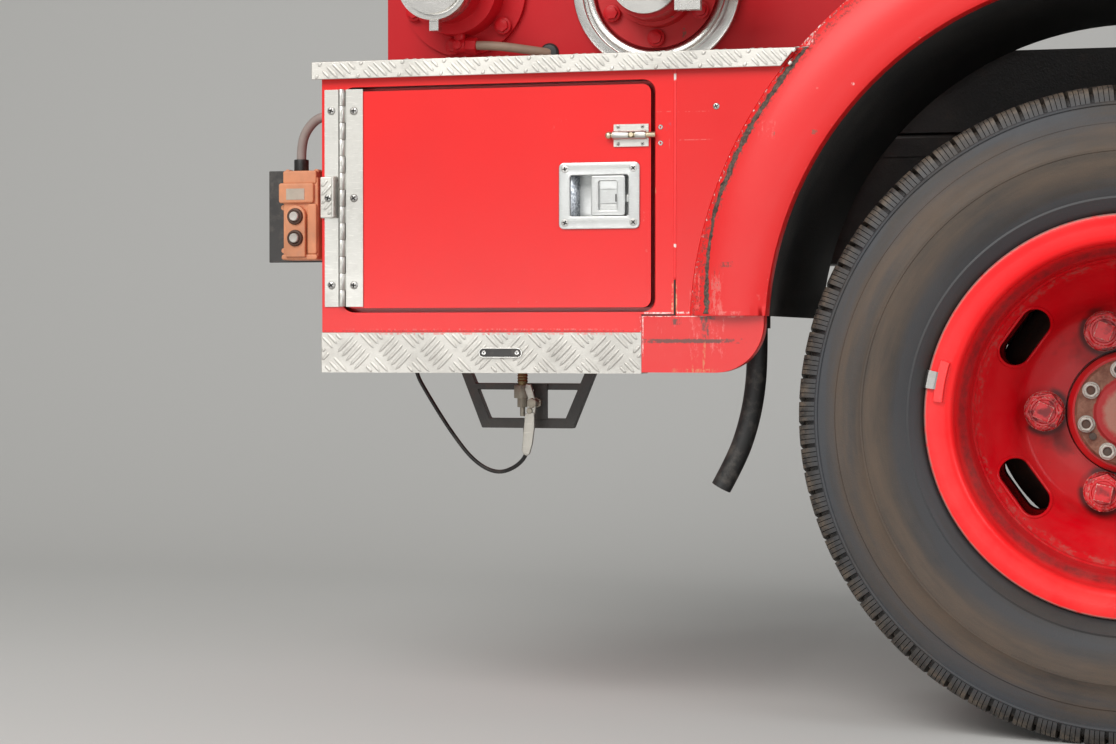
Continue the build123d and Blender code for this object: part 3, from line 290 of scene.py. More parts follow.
# %% Red enamel
RED = (0.79, 0.010, 0.010, 1.0)
DUST = (0.42, 0.36, 0.30, 1.0)
PALE = (0.74, 0.17, 0.15, 1.0)
PRIMER = (0.82, 0.74, 0.70, 1.0)
CREAM = (0.74, 0.40, 0.22, 1.0)
BARE = (0.19, 0.10, 0.07, 1.0)
STREAK = (0.62, 0.20, 0.09, 1.0)
SMEAR = (0.10, 0.050, 0.040, 1.0)
DARK_RED = (0.30, 0.008, 0.008, 1.0)
PLUM = (0.30, 0.10, 0.16, 1.0)


def red_enamel(name, base, chip_cover, dust_amount, roughness=0.28, coat=0.6, marks=(), rings=(),
               gap_dirt=0.0, shine=0.5):
    """Sprayed enamel: slight colour drift, orange peel, chips to primer, low dust and known scuffs, and,
    where asked, painted shade on faces turned side-on, such as the walls of gaps.
    """
    material, net, shader, spot = start_material(name, roughness, coat=coat)
    shader.inputs["Specular IOR Level"].default_value = shine
    drift = net.noise(spot, 3.0, 3.0)
    darker = shade(base, 0.86)
    colour = net.blend(net.spread(drift, 0.35, 0.7, 0.0, 0.6), base, darker)
    chips = use_effect(net, chip_group, Scale=170.0, Cover=chip_cover, Patch=11.0)
    colour = net.blend(chips, colour, (0.20, 0.06, 0.045, 1.0))
    dust = use_effect(net, dust_group, Scale=14.0, Amount=dust_amount, Low=-0.45, High=0.2)
    colour = net.blend(dust, colour, DUST)
    fine = net.noise(spot, 210.0, 5.0, 0.7)
    colour = marked(net, spot, colour, marks) if marks else colour
    # Painted shade: faces turned side-on, such as the walls of the door's gaps, are darkened almost to black.
    if gap_dirt:
        normal = net.add("ShaderNodeTexCoord").outputs["Normal"]
        facing = net.add("ShaderNodeSeparateXYZ", {"Vector": normal}).outputs["Y"]
        edge_on = net.spread(net.math("ABSOLUTE", facing), 0.55, 0.15, 0.0, gap_dirt)
        colour = net.blend(edge_on, colour, (0.045, 0.002, 0.002, 1.0))
    worn = chips
    for radius, half, broken, tone in rings:
        away = net.math("ABSOLUTE", net.math("SUBTRACT", line_distance(net, spot, 0.0, ARCH_Z), radius))
        ring = net.times(net.spread(away, half, half * 0.5), net.spread(fine, broken, broken + 0.08))
        colour = net.blend(ring, colour, tone)
        worn = net.math("MAXIMUM", worn, ring)
    net.feed(colour, shader.inputs["Base Color"])
    roughen(net, shader, roughness, (dust, 0.4), (worn, 0.3))
    height = net.math("SUBTRACT", grainy(net, 260.0, 45.0), net.times(worn, 1.5))
    bump(net, shader, height, 0.12, 0.0006)
    return material


# Middle, half width and half height in millimetres, how broken, strength, tone
DOOR_MARKS = (
    (-650.0, 712.0, 16.0, 24.0, 0.60, 0.6, PALE), (-548.0, 600.0, 3.0, 7.0, 0.55, 0.7, PALE),
    (-545.0, 560.0, 3.0, 2.0, 0.50, 0.6, PALE), (-700.0, 501.0, 60.0, 1.6, 0.58, 0.5, PALE),
)
FACE_MARKS = (
    (-520.8, 704.2, 5.0, 6.0, 0.52, 0.6, PLUM), (-524.0, 721.3, 12.0, 0.7, 0.48, 0.5, PALE),
    (-519.5, 690.0, 0.8, 13.0, 0.50, 0.6, PALE), (-526.0, 677.5, 7.0, 0.8, 0.52, 0.5, PALE),
    (-536.0, 630.0, 1.8, 4.0, 0.45, 0.8, CREAM), (-720.0, 468.5, 210.0, 1.6, 0.50, 0.7, PALE),
    (-532.0, 487.6, 19.0, 1.1, 0.44, 0.9, PRIMER), (-742.0, 466.8, 192.0, 0.8, 0.42, 0.8, DARK_RED),
    (-553.2, 470.0, 1.1, 16.0, 0.48, 0.9, PRIMER), (-515.4, 505.0, 1.2, 19.0, 0.47, 0.9, CREAM),
)
SIDE_MARKS = (
    (-488.0, 720.6, 24.0, 0.7, 0.50, 0.5, PALE), (-487.0, 694.5, 22.0, 5.0, 0.60, 0.25, BARE),
    (-487.0, 688.0, 22.0, 0.7, 0.46, 0.6, PALE), (-511.0, 505.0, 1.5, 19.0, 0.45, 0.9, CREAM),
    (-489.0, 500.0, 7.0, 14.0, 0.46, 0.7, PALE), (-500.0, 488.0, 12.0, 1.2, 0.46, 0.8, PRIMER),
)
FLARE_MARKS = (
    (-403.0, 697.0, 15.0, 14.0, 0.52, 0.45, PALE), (-392.0, 692.0, 5.0, 3.0, 0.50, 0.8, BARE),
    (-348.0, 692.5, 3.5, 3.0, 0.42, 0.8, BARE), (-305.0, 746.0, 2.0, 1.5, 0.42, 0.6, PRIMER),
    (-345.0, 742.0, 1.7, 1.3, 0.42, 0.5, PALE), (-461.5, 508.0, 8.0, 25.0, 0.46, 0.7, PALE),
    (-486.0, 512.0, 5.0, 26.0, 0.47, 0.7, PALE), (-411.0, 505.2, 4.0, 4.0, 0.50, 0.5, PALE),
    (-356.0, 800.0, 8.0, 9.0, 0.50, 0.8, PRIMER), (-447.0, 487.0, 17.0, 2.4, 0.47, 0.8, PALE),
    (-449.0, 543.0, 8.0, 4.0, 0.46, 0.75, SMEAR), (-461.0, 522.0, 8.0, 24.0, 0.53, 0.5, SMEAR),
)
# Radius and half width in metres, how broken, tone
FLARE_RINGS = (
    (0.4875, 0.0090, 0.50, (0.34, 0.035, 0.030, 1.0)), (0.4935, 0.0016, 0.56, PRIMER),
    (0.4072, 0.0014, 0.60, PALE),
)
PATCH_MARKS = (
    (-462.0, 459.0, 11.0, 26.0, 0.50, 0.6, PALE), (-487.0, 459.0, 9.0, 26.0, 0.52, 0.6, PALE),
    (-520.0, 459.0, 18.0, 26.0, 0.56, 0.45, PALE), (-441.0, 483.2, 12.0, 1.4, 0.46, 0.8, PALE),
    (-496.5, 455.1, 56.0, 2.6, 0.30, 0.9, SMEAR), (-476.5, 471.0, 5.0, 16.0, 0.43, 0.9, SMEAR),
    (-474.0, 483.0, 13.0, 4.0, 0.43, 0.9, SMEAR), (-511.0, 477.5, 6.5, 4.2, 0.44, 0.9, SMEAR),
    (-477.5, 436.0, 2.0, 20.0, 0.48, 0.8, STREAK), (-489.0, 421.0, 28.0, 2.4, 0.47, 0.8, STREAK),
    (-480.0, 434.0, 17.0, 14.0, 0.57, 0.7, STREAK), (-512.0, 484.0, 40.0, 0.9, 0.42, 0.9, PRIMER),
    (-549.9, 462.0, 0.9, 22.0, 0.46, 0.8, PRIMER),
)
door_red = red_enamel("red_door_paint", RED, 0.06, 0.01, coat=0.05, marks=DOOR_MARKS, gap_dirt=0.95)
face_red = red_enamel("red_face_paint", RED, 0.10, 0.02, coat=0.05, marks=FACE_MARKS, gap_dirt=0.95)
# The side panel's red is darker than the door's: painted shade where the light falls off across the side.
side_red_shaded = red_enamel(
    "red_side_paint", (0.74, 0.010, 0.010, 1.0), 0.10, 0.02, coat=0.05, marks=SIDE_MARKS
)
flare_red = red_enamel(
    "red_flare_paint", (0.75, 0.009, 0.010, 1.0), 0.10, 0.04, 0.42, 0.03, marks=FLARE_MARKS, rings=FLARE_RINGS
)
patch_red = red_enamel(
    "red_patch_paint", (0.72, 0.012, 0.012, 1.0), 0.12, 0.05, 0.34, 0.05, marks=PATCH_MARKS
)
# The weight's red is lighter than the wheel's: painted light on the raised weight.
weight_red_lit = red_enamel("weight_paint", (0.92, 0.020, 0.020, 1.0), 0.30, 0.02, 0.35, 0.10)
# The seam's red is lighter than the panels': painted highlight on the seam's ridge.
seam_red_lit = red_enamel("seam_paint", (0.86, 0.030, 0.032, 1.0), 0.05, 0.0, 0.35, 0.10, marks=(
    (-512.5, 761.5, 3.0, 4.2, 0.10, 1.0, PRIMER), (-512.5, 566.0, 3.0, 2.2, 0.20, 1.0, PRIMER),
))
red_paint = red_enamel("red_panel_paint", RED, 0.10, 0.02, coat=0.12)
# The bay's red is darker than the panels': painted shade of the body above, which overhangs the bay. The port
# bolts, the elbow and the body floor take it too.
bay_red_shaded = red_enamel("red_bay_paint", (0.50, 0.005, 0.011, 1.0), 0.25, 0.06, 0.40, 0.02, shine=0.2)
worn_red = red_enamel("red_scraped_paint", (0.50, 0.007, 0.012, 1.0), 0.95, 0.22, 0.40, 0.04, shine=0.25)

# %% [markdown]
# ## Metals
# The shelf, sill and clip are rolled aluminium tread plate: bright, a little dull in the hollows
# and dirty between the bars. The hinge and latch are satin steel. The iron under the vehicle is
# painted black and dusty, and the drive flange has rusted.

# %% Metals


def worked_metal(name, base, roughness, dirt, scale=90.0, grain=0.25, metallic=1.0, marks=()):
    """Bare metal with cloudy tarnish, scratches, grime in patches and a fine grain."""
    material, net, shader, spot = start_material(name, roughness, metallic)
    cloud = net.noise(spot, 7.0, 5.0, 0.6)
    duller = shade(base, 0.72)
    colour = net.blend(net.spread(cloud, 0.3, 0.7), base, duller)
    scratches = use_effect(net, scratch_group, Scale=scale * 0.7, Amount=0.35)
    colour = net.blend(scratches, colour, shade(base, 1.25))
    grime = net.spread(net.noise(spot, 26.0, 6.0, 0.7), 0.52, 0.78, 0.0, dirt)
    colour = net.blend(grime, colour, (0.11, 0.095, 0.08, 1.0))
    colour = marked(net, spot, colour, marks) if marks else colour
    net.feed(colour, shader.inputs["Base Color"])
    roughen(net, shader, roughness - 0.06, (cloud, 0.16), (grime, 0.4))
    bump(net, shader, grainy(net, scale * 6, scale), grain, 0.0004)
    return material


ROLLED = (0.70, 0.680, 0.635, 1.0)
tread_metal = worked_metal("rolled_tread_plate", ROLLED, 0.42, 0.30, 120.0, 0.45, metallic=0.75)
SILL_MARKS = ((-742.0, 463.6, 192.0, 1.3, 0.47, 0.8, PALE), (-742.0, 462.4, 192.0, 1.0, 0.56, 0.7, DARK_RED))
sill_metal = worked_metal(
    "rolled_sill_plate", ROLLED, 0.42, 0.30, 120.0, 0.45, metallic=0.75, marks=SILL_MARKS
)
satin_metal = worked_metal("satin_hinge_steel", (0.68, 0.67, 0.63, 1.0), 0.36, 0.22, 90.0, 0.18)
cast_metal = worked_metal("cast_latch_metal", (0.64, 0.65, 0.64, 1.0), 0.30, 0.15, 150.0, 0.3, metallic=0.85)
zinc_metal = worked_metal("galvanised_lever", (0.55, 0.53, 0.48, 1.0), 0.5, 0.5, 60.0, 0.6)
trim_metal = worked_metal("satin_bright_trim", (0.80, 0.79, 0.76, 1.0), 0.22, 0.10, 80.0, 0.12)
bolt_metal = worked_metal("brassy_bolt", (0.80, 0.70, 0.50, 1.0), 0.34, 0.15, 90.0, 0.2)
brass_metal = worked_metal("dusty_brass", (0.34, 0.25, 0.12, 1.0), 0.45, 0.6, 80.0, 0.4)
screw_metal = worked_metal("screw_steel", (0.58, 0.57, 0.55, 1.0), 0.34, 0.45, 200.0, 0.3)


def spangled_zinc():
    """Hot-dipped sheet, in crystals of lighter and darker grey."""
    material, net, shader, spot = start_material("spangled_zinc", 0.45, 0.25)
    cells = net.add("ShaderNodeTexVoronoi", {"Vector": spot, "Scale": 420.0}).outputs["Color"]
    tone = net.add("ShaderNodeSeparateColor", {"Color": cells}).outputs[0]
    colour = net.blend(net.spread(tone, 0.1, 0.9), (0.30, 0.34, 0.40, 1.0), (0.82, 0.86, 0.92, 1.0))
    net.feed(colour, shader.inputs["Base Color"])
    bump(net, shader, tone, 0.3, 0.0003)
    return material


spangle_metal = spangled_zinc()


def grimy_iron(name, base, roughness, dust, rust, grain=0.6):
    """Painted or bare iron: rust in patches, dust that thickens downwards, a cast grain."""
    material, net, shader, spot = start_material(name, roughness)
    rusty = net.spread(net.noise(spot, 22.0, 7.0, 0.7), 0.62 - rust * 0.3, 0.72, 0.0, min(1.0, rust * 1.4))
    tone = net.blend(net.noise(spot, 70.0, 3.0), (0.20, 0.055, 0.02, 1.0), (0.07, 0.025, 0.014, 1.0))
    colour = net.blend(rusty, base, tone)
    dusty = use_effect(net, dust_group, Scale=11.0, Amount=dust, Low=-0.5, High=0.3)
    colour = net.blend(dusty, colour, (0.16, 0.135, 0.11, 1.0))
    net.feed(colour, shader.inputs["Base Color"])
    roughen(net, shader, roughness, (net.math("MAXIMUM", rusty, dusty), 0.4))
    bump(net, shader, net.plus(grainy(net, 300.0, 60.0), rusty), grain, 0.0007)
    return material


chassis_black = grimy_iron("chassis_black", (0.012, 0.012, 0.012, 1.0), 0.42, 0.35, 0.12)
spring_black = grimy_iron("spring_black", (0.016, 0.014, 0.013, 1.0), 0.5, 0.5, 0.4)
drum_iron = grimy_iron("drum_iron", (0.05, 0.035, 0.028, 1.0), 0.6, 0.3, 0.6)
liner_black = grimy_iron("liner_underseal", (0.010, 0.010, 0.010, 1.0), 0.75, 0.30, 0.0, grain=1.0)

# %% [markdown]
# ## Rubber and plastic
# The tyre's sidewall is black rubber under brown road dust. The dust lies in rings and fades
# towards the tread, so the mask follows the distance from the axle. The small rubber pieces share
# one plainer finish.

# %% Tyre rubber


def band(net, radius, start, full, fading, end):
    """Mask between two radii in metres: it rises from start to full and falls from fading to end."""
    return net.times(net.spread(radius, start, full), net.spread(radius, end, fading))


def tyre_rubber():
    """Black rubber under brown dust, with slate, clay and mud lying in rings."""
    material, net, shader, spot = start_material("tyre_rubber", 0.62)
    parts = net.add("ShaderNodeSeparateXYZ", {"Vector": spot}).outputs
    rise = net.math("SUBTRACT", parts["Z"], AXLE_Z)
    radius = line_distance(net, spot, 0.0, AXLE_Z)
    dusty = band(net, radius, 0.232, 0.300, 0.335, 0.372)
    cloud = net.noise(spot, 12.0, 6.0, 0.65)
    fine = net.noise(spot, 90.0, 4.0, 0.7)
    cloudy = net.spread(cloud, 0.35, 0.65, 0.15, 1.0)
    streak = net.times(cloudy, net.spread(fine, 0.2, 0.8, 0.6, 1.0))
    brown = net.times(net.spread(dusty, 0.0, 1.0, 0.18, 0.85), streak, clamp=True)
    colour = net.blend(brown, (0.022, 0.020, 0.019, 1.0), (0.092, 0.068, 0.049, 1.0))
    pale = net.times(net.spread(radius, 0.340, 0.372), net.spread(fine, 0.4, 0.8, 0.0, 0.6))
    colour = net.blend(pale, colour, (0.12, 0.115, 0.105, 1.0))
    along = {"X": radius, "Y": net.times(parts["X"], 0.12), "Z": net.times(rise, 0.12)}
    around = net.add("ShaderNodeCombineXYZ", along).outputs["Vector"]
    drift = net.noise(around, 60.0, 5.0, 0.6)
    wander = net.noise(around, 34.0, 4.0, 0.55)
    shoulder = band(net, radius, 0.300, 0.332, 0.352, 0.366)
    bead = net.times(net.spread(radius, 0.284, 0.262), 0.7)
    slate = net.times(net.math("MAXIMUM", shoulder, bead), net.spread(wander, 0.40, 0.56, 0.1, 0.8))
    colour = net.blend(slate, colour, (0.044, 0.049, 0.058, 1.0))
    waist = band(net, radius, 0.262, 0.284, 0.322, 0.344)
    clay = net.times(waist, net.spread(drift, 0.36, 0.64, 0.10, 0.80))
    colour = net.blend(clay, colour, (0.100, 0.068, 0.046, 1.0))
    mud = net.times(net.spread(radius, 0.360, 0.368), net.spread(fine, 0.42, 0.66, 0.0, 0.6))
    colour = net.blend(mud, colour, (0.150, 0.108, 0.072, 1.0))
    net.feed(colour, shader.inputs["Base Color"])
    roughen(net, shader, 0.5, (brown, 0.3))
    bump(net, shader, grainy(net, 500.0, 90.0), 0.35, 0.0006)
    return material


tyre_black = tyre_rubber()

# %% Small rubber and plastic


def moulded(name, base, roughness, dust=0.2, scale=300.0, grain=0.2, fading=0.75, mottle=25.0):
    """Moulded rubber or plastic, faded in clouds, with a fine skin."""
    material, net, shader, spot = start_material(name, roughness)
    cloud = net.noise(spot, mottle, 4.0, 0.6)
    darker = shade(base, fading)
    colour = net.blend(net.spread(cloud, 0.35, 0.68), base, darker)
    dusty = net.spread(net.noise(spot, mottle * 2.4, 5.0, 0.7), 0.5, 0.75, 0.0, dust)
    colour = net.blend(dusty, colour, (0.30, 0.26, 0.22, 1.0))
    net.feed(colour, shader.inputs["Base Color"])
    roughen(net, shader, roughness, (dusty, 0.4))
    bump(net, shader, grainy(net, scale * 2, scale / 4), grain, 0.0004)
    return material


hose_rubber = moulded("hose_rubber", (0.016, 0.016, 0.016, 1.0), 0.5, 0.25)
cable_rubber = moulded("cable_sheath", (0.012, 0.012, 0.012, 1.0), 0.45, 0.15)
sealant = moulded("cracked_sealant", (0.115, 0.078, 0.060, 1.0), 0.8, 0.60, 120.0, 0.9, 0.22, 130.0)
lead_sheath = moulded("grey_lead_sheath", (0.30, 0.245, 0.225, 1.0), 0.6, 0.3)
orange_plastic = moulded("faded_orange_plastic", (0.70, 0.29, 0.145, 1.0), 0.5, 0.25, grain=0.3)
button_plastic = moulded("button_plastic", (0.52, 0.51, 0.47, 1.0), 0.4, 0.3)
label_plastic = moulded("bare_label", (0.50, 0.44, 0.36, 1.0), 0.5, 0.3)
dark_plate = moulded("dark_back_plate", (0.035, 0.033, 0.032, 1.0), 0.35, 0.2)
print(len(FINISHES), "finishes")

# %% [markdown]
# ## Finishes that follow the axle
# A wheel wears and dirties in rings: its lip is scuffed by kerbs, rust and grease collect at the weld and
# round the nuts, and the drive flange rusts where paint has gone. The dish is painted darker than the lip,
# with painted shade below the well's step and painted shadow round each nut. These masks are made from
# distances: from the axle, and from each stud for the shadows round the nuts.

# %% Ring masks and the wheel's enamel
STUD_COUNT, STUD_CIRCLE_R, FIRST_STUD_DEG = 5, 0.1016, 180.0
# Radii where the dish is welded to the rim, where painted shade and dust lie below the well's step, and where
# kerbs scuff the lip
WELD_R, STEP_SHADE_R, KERB_R = 0.1765, 0.1885, 0.2262


def ring_mask(net, radius, middle, half_width):
    """1 on a ring of that radius, fading to 0 at its sides."""
    away = net.math("ABSOLUTE", net.math("SUBTRACT", radius, middle))
    return net.spread(away, half_width, half_width * 0.35)


def wheel_paint():
    material, net, shader, spot = start_material("wheel_enamel", 0.3, coat=0.04)
    shader.inputs["Specular IOR Level"].default_value = 0.22
    radius = line_distance(net, spot, 0.0, AXLE_Z)
    fine = net.noise(spot, 120.0, 6.0, 0.7)
    broad = net.noise(spot, 9.0, 4.0, 0.6)
    # One paint: the darker dish red is painted shade inside the dish, and the brighter lip red is painted
    # light on the lip.
    dish_shaded_tone, lip_lit_tone = (0.64, 0.002, 0.010, 1.0), (0.98, 0.012, 0.016, 1.0)
    colour = net.blend(net.spread(radius, 0.188, 0.200), dish_shaded_tone, lip_lit_tone)
    greasy = net.spread(broad, 0.56, 0.66, 0.0, 0.75)
    grease = net.times(ring_mask(net, radius, STUD_CIRCLE_R, 0.036), greasy)
    colour = net.blend(grease, colour, (0.060, 0.012, 0.012, 1.0))
    # Painted shadow: dark patches round each nut, broken up by noise.
    nut_shadow_patches = net.spread(broad, 0.44, 0.52, 0.15, 0.9)
    for i in range(STUD_COUNT):
        t = math.radians(FIRST_STUD_DEG + 360.0 * i / STUD_COUNT)
        away = line_distance(net, spot, STUD_CIRCLE_R * math.cos(t), AXLE_Z + STUD_CIRCLE_R * math.sin(t))
        near = net.times(net.spread(away, 0.0330, 0.0275), nut_shadow_patches)
        colour = net.blend(near, colour, (0.045, 0.008, 0.009, 1.0))
    haze = net.times(net.spread(radius, 0.135, 0.09), net.spread(broad, 0.3, 0.7, 0.0, 0.25))
    colour = net.blend(haze, colour, (0.24, 0.030, 0.026, 1.0))
    weld = net.times(ring_mask(net, radius, WELD_R, 0.007), net.spread(fine, 0.50, 0.62, 0.0, 0.55))
    colour = net.blend(weld, colour, (0.42, 0.12, 0.10, 1.0))
    # Painted shade below the well's step, darkened further with dust in patches.
    step_shade_and_dust = net.times(ring_mask(net, radius, STEP_SHADE_R, 0.007), net.spread(fine, 0.25, 0.7, 0.25, 0.8))
    colour = net.blend(step_shade_and_dust, colour, (0.085, 0.012, 0.012, 1.0))
    kerb = net.times(net.spread(radius, KERB_R, KERB_R + 0.0023), net.spread(fine, 0.36, 0.50, 0.15, 0.9))
    colour = net.blend(kerb, colour, (0.34, 0.24, 0.21, 1.0))
    chips = use_effect(net, chip_group, Scale=220.0, Cover=0.45, Patch=16.0)
    colour = net.blend(chips, colour, (0.15, 0.03, 0.025, 1.0))
    dust = use_effect(net, dust_group, Scale=16.0, Amount=0.10, Low=-0.6, High=-0.1)
    colour = net.blend(dust, colour, DUST)
    net.feed(colour, shader.inputs["Base Color"])
    dull = net.plus(net.math("MAXIMUM", kerb, step_shade_and_dust), net.plus(weld, grease))
    roughen(net, shader, 0.30, (dull, 0.35))
    bump(net, shader, net.plus(grainy(net, 240.0, 50.0), net.times(weld, 2.0)), 0.14, 0.0006)
    return material


wheel_enamel = wheel_paint()


def worn_nut_paint():
    """Red paint that spanners have taken off the edges, shown by fine bright chips."""
    material, net, shader, spot = start_material("nut_red", 0.35, coat=0.1)
    edge = net.add("ShaderNodeNewGeometry").outputs["Pointiness"]
    fine = net.noise(spot, 420.0, 4.0, 0.65)
    worn = net.spread(net.plus(edge, net.times(fine, 0.15)), 0.640, 0.664)
    grease = net.spread(net.noise(spot, 70.0, 4.0, 0.6), 0.50, 0.66, 0.0, 0.8)
    colour = net.blend(grease, (0.66, 0.006, 0.014, 1.0), (0.11, 0.012, 0.014, 1.0))
    colour = net.blend(worn, colour, (0.66, 0.42, 0.37, 1.0))
    net.feed(colour, shader.inputs["Base Color"])
    roughen(net, shader, 0.32, (grease, 0.3))
    bump(net, shader, grainy(net, 500.0, 120.0), 0.3, 0.0004)
    return material


nut_red = worn_nut_paint()


def flange_rust():
    """Drive flange: bare rust on its rim, red paint inside it and pale dust at the centre."""
    material, net, shader, spot = start_material("drive_flange_rust", 0.7)
    radius = line_distance(net, spot, 0.0, AXLE_Z)
    fine = net.noise(spot, 90.0, 6.0, 0.7)
    rust = net.blend(net.spread(fine, 0.35, 0.65), (0.13, 0.045, 0.026, 1.0), (0.26, 0.13, 0.085, 1.0))
    wobble = net.plus(radius, net.times(net.math("SUBTRACT", fine, 0.5), 0.012))
    colour = net.blend(net.spread(wobble, 0.0445, 0.0425), rust, (0.36, 0.022, 0.024, 1.0))
    colour = net.blend(net.spread(wobble, 0.034, 0.028, 0.0, 0.85), colour, (0.34, 0.19, 0.14, 1.0))
    net.feed(colour, shader.inputs["Base Color"])
    bump(net, shader, net.plus(fine, grainy(net, 300.0, 80.0)), 0.7, 0.0006)
    return material


drive_rust = flange_rust()
print("ring finishes ready")

# %% [markdown]
# ## Making pieces
# Every piece ends the same way: a mesh whose object sits at the origin, one finish, the body it rides on, and
# the plain frame node it stands for, if it stands for one.
# A few makers cover nearly all of this vehicle. A pressed plate is a flat closed curve with a
# rounded edge, because a curve takes holes and gives an even bevel. A turned piece is a profile
# spun round a line, such as the axle. The rest are small solids with softened edges.

# %% Dress and place a piece
# Centre of a turned shape that is made once at the origin and then repeated elsewhere
AT_ORIGIN = (0.0, 0.0)


def dress(piece, material, body, stands_for=()):
    """Finish a piece and say its body and the nodes that it stands for."""
    piece.data.materials.clear()
    piece.data.materials.append(material)
    for face in piece.data.polygons:
        face.use_smooth = True
    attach(piece, body)
    if stands_for:
        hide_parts(*stands_for)
    return piece


def mesh_object(name, bm):
    mesh = bpy.data.meshes.new(name)
    bm.to_mesh(mesh)
    bm.free()
    return linked(name, mesh)


def from_bmesh(name, bm, merge=0.0):
    """A mesh object whose faces all look outwards."""
    if merge:
        bmesh.ops.remove_doubles(bm, verts=bm.verts, dist=merge)
    bmesh.ops.recalc_face_normals(bm, faces=bm.faces)
    return mesh_object(name, bm)


def skin(bm, rings):
    """Faces from each ring of corners to the next, and a cap on both ends."""
    count = len(rings[0])
    for near, far in zip(rings, rings[1:]):
        for i in range(count):
            j = (i + 1) % count
            bm.faces.new((near[i], near[j], far[j], far[i]))
    bm.faces.new(rings[0])
    bm.faces.new(list(reversed(rings[-1])))


def baked(source, name=None):
    """The evaluated shape of an object as a plain mesh object; the source is deleted."""
    bpy.context.view_layer.update()
    graph = bpy.context.evaluated_depsgraph_get()
    mesh = bpy.data.meshes.new_from_object(source.evaluated_get(graph), depsgraph=graph)
    name = name or source.name
    bpy.data.objects.remove(source)
    mesh.name = name
    return linked(name, mesh)


def joined(name, parts):
    """Several mesh objects as one, with their meshes put together."""
    bm = bmesh.new()
    for part in parts:
        bm.from_mesh(part.data)
        bpy.data.objects.remove(part)
    return mesh_object(name, bm)


def with_auto_smooth(piece, degrees=35.0):
    """Smooth shading that keeps true corners, by marking them sharp."""
    limit = math.radians(degrees)
    bm = bmesh.new()
    bm.from_mesh(piece.data)
    for edge in bm.edges:
        if len(edge.link_faces) == 2:
            edge.smooth = edge.calc_face_angle(0.0) < limit
    bm.to_mesh(piece.data)
    bm.free()
    return piece


# %% Pressed plates


def arc_points(cx, cz, r, start_deg, end_deg, steps):
    span = [math.radians(start_deg + (end_deg - start_deg) * i / steps) for i in range(steps + 1)]
    return [(cx + r * math.cos(t), cz + r * math.sin(t)) for t in span]


def round_rect(x0, x1, z0, z1, r, steps=5):
    """Corner points of a rectangle with round corners, anticlockwise."""
    points = []
    corners = ((x1 - r, z0 + r), (x1 - r, z1 - r), (x0 + r, z1 - r), (x0 + r, z0 + r))
    for (cx, cz), start in zip(corners, (-90, 0, 90, 180)):
        points += arc_points(cx, cz, r, start, start + 90, steps)
    return points


def add_spline(curve, kind, spots, closed=False):
    spline = curve.splines.new(kind)
    spline.points.add(len(spots) - 1)
    for point, spot in zip(spline.points, spots):
        point.co = (*spot, 1.0)
    spline.use_cyclic_u = closed
    return spline


def standing(x, y, z):
    """Turns a shape that was made lying flat so that its Z runs outwards, and moves it."""
    return Matrix.Translation((x, y, z)) @ Matrix.Rotation(math.radians(90), 4, "X")


def plate(name, outlines, y_out, y_in, edge=0.0012):
    """Plate between two depths: the first outline is its rim and the others are holes."""
    curve = bpy.data.curves.new(name, "CURVE")
    curve.dimensions = "2D"
    curve.fill_mode = "BOTH"
    curve.extrude = (y_in - y_out) / 2 - edge
    curve.bevel_depth = edge
    curve.offset = -edge
    curve.bevel_resolution = 2
    for outline in outlines:
        add_spline(curve, "POLY", [(x, z, 0.0) for x, z in outline], closed=True)
    made = baked(linked(name, curve), name)
    made.data.transform(standing(0.0, (y_out + y_in) / 2, 0.0))
    bm = bmesh.new()
    bm.from_mesh(made.data)
    bmesh.ops.remove_doubles(bm, verts=bm.verts, dist=1e-6)
    bmesh.ops.recalc_face_normals(bm, faces=bm.faces)
    bm.to_mesh(made.data)
    bm.free()
    return with_auto_smooth(made)


# %% Turned pieces


def turned(name, profile, centre=(0.0, AXLE_Z), segments=160, start_deg=0.0, end_deg=360.0):
    """A closed profile of (depth, radius) spun round a line along Y."""
    full = end_deg - start_deg >= 360.0
    bm = bmesh.new()
    rings = []
    count = segments if full else segments + 1
    for i in range(count):
        t = math.radians(start_deg + (end_deg - start_deg) * i / segments)
        spots = [(centre[0] + r * math.cos(t), y, centre[1] + r * math.sin(t)) for y, r in profile]
        rings.append([bm.verts.new(spot) for spot in spots])
    size = len(profile)
    for i in range(segments):
        ring, after = rings[i], rings[(i + 1) % count]
        for j in range(size):
            k = (j + 1) % size
            bm.faces.new((ring[j], ring[k], after[k], after[j]))
    if not full:
        bm.faces.new(rings[0])
        bm.faces.new(list(reversed(rings[-1])))
    return with_auto_smooth(from_bmesh(name, bm, 1e-7))


# %% Small solids


def softened(name, bm, width):
    """A solid whose edges over 30 degrees are rounded."""
    edges = [e for e in bm.edges if len(e.link_faces) == 2 and e.calc_face_angle(0.0) > math.radians(30)]
    if width:
        bmesh.ops.bevel(
            bm, geom=edges, offset=width, segments=2, profile=0.6, affect="EDGES", clamp_overlap=True
        )
    return with_auto_smooth(from_bmesh(name, bm))


def bar(name, low, high, width=0.0008):
    """Rectangular piece between two corners with softened edges."""
    bm = bmesh.new()
    bmesh.ops.create_cube(bm, size=1.0)
    size = [h - l for l, h in zip(low, high)]
    middle = [(h + l) / 2 for l, h in zip(low, high)]
    bmesh.ops.scale(bm, vec=size, verts=bm.verts)
    bmesh.ops.translate(bm, vec=middle, verts=bm.verts)
    return softened(name, bm, width)


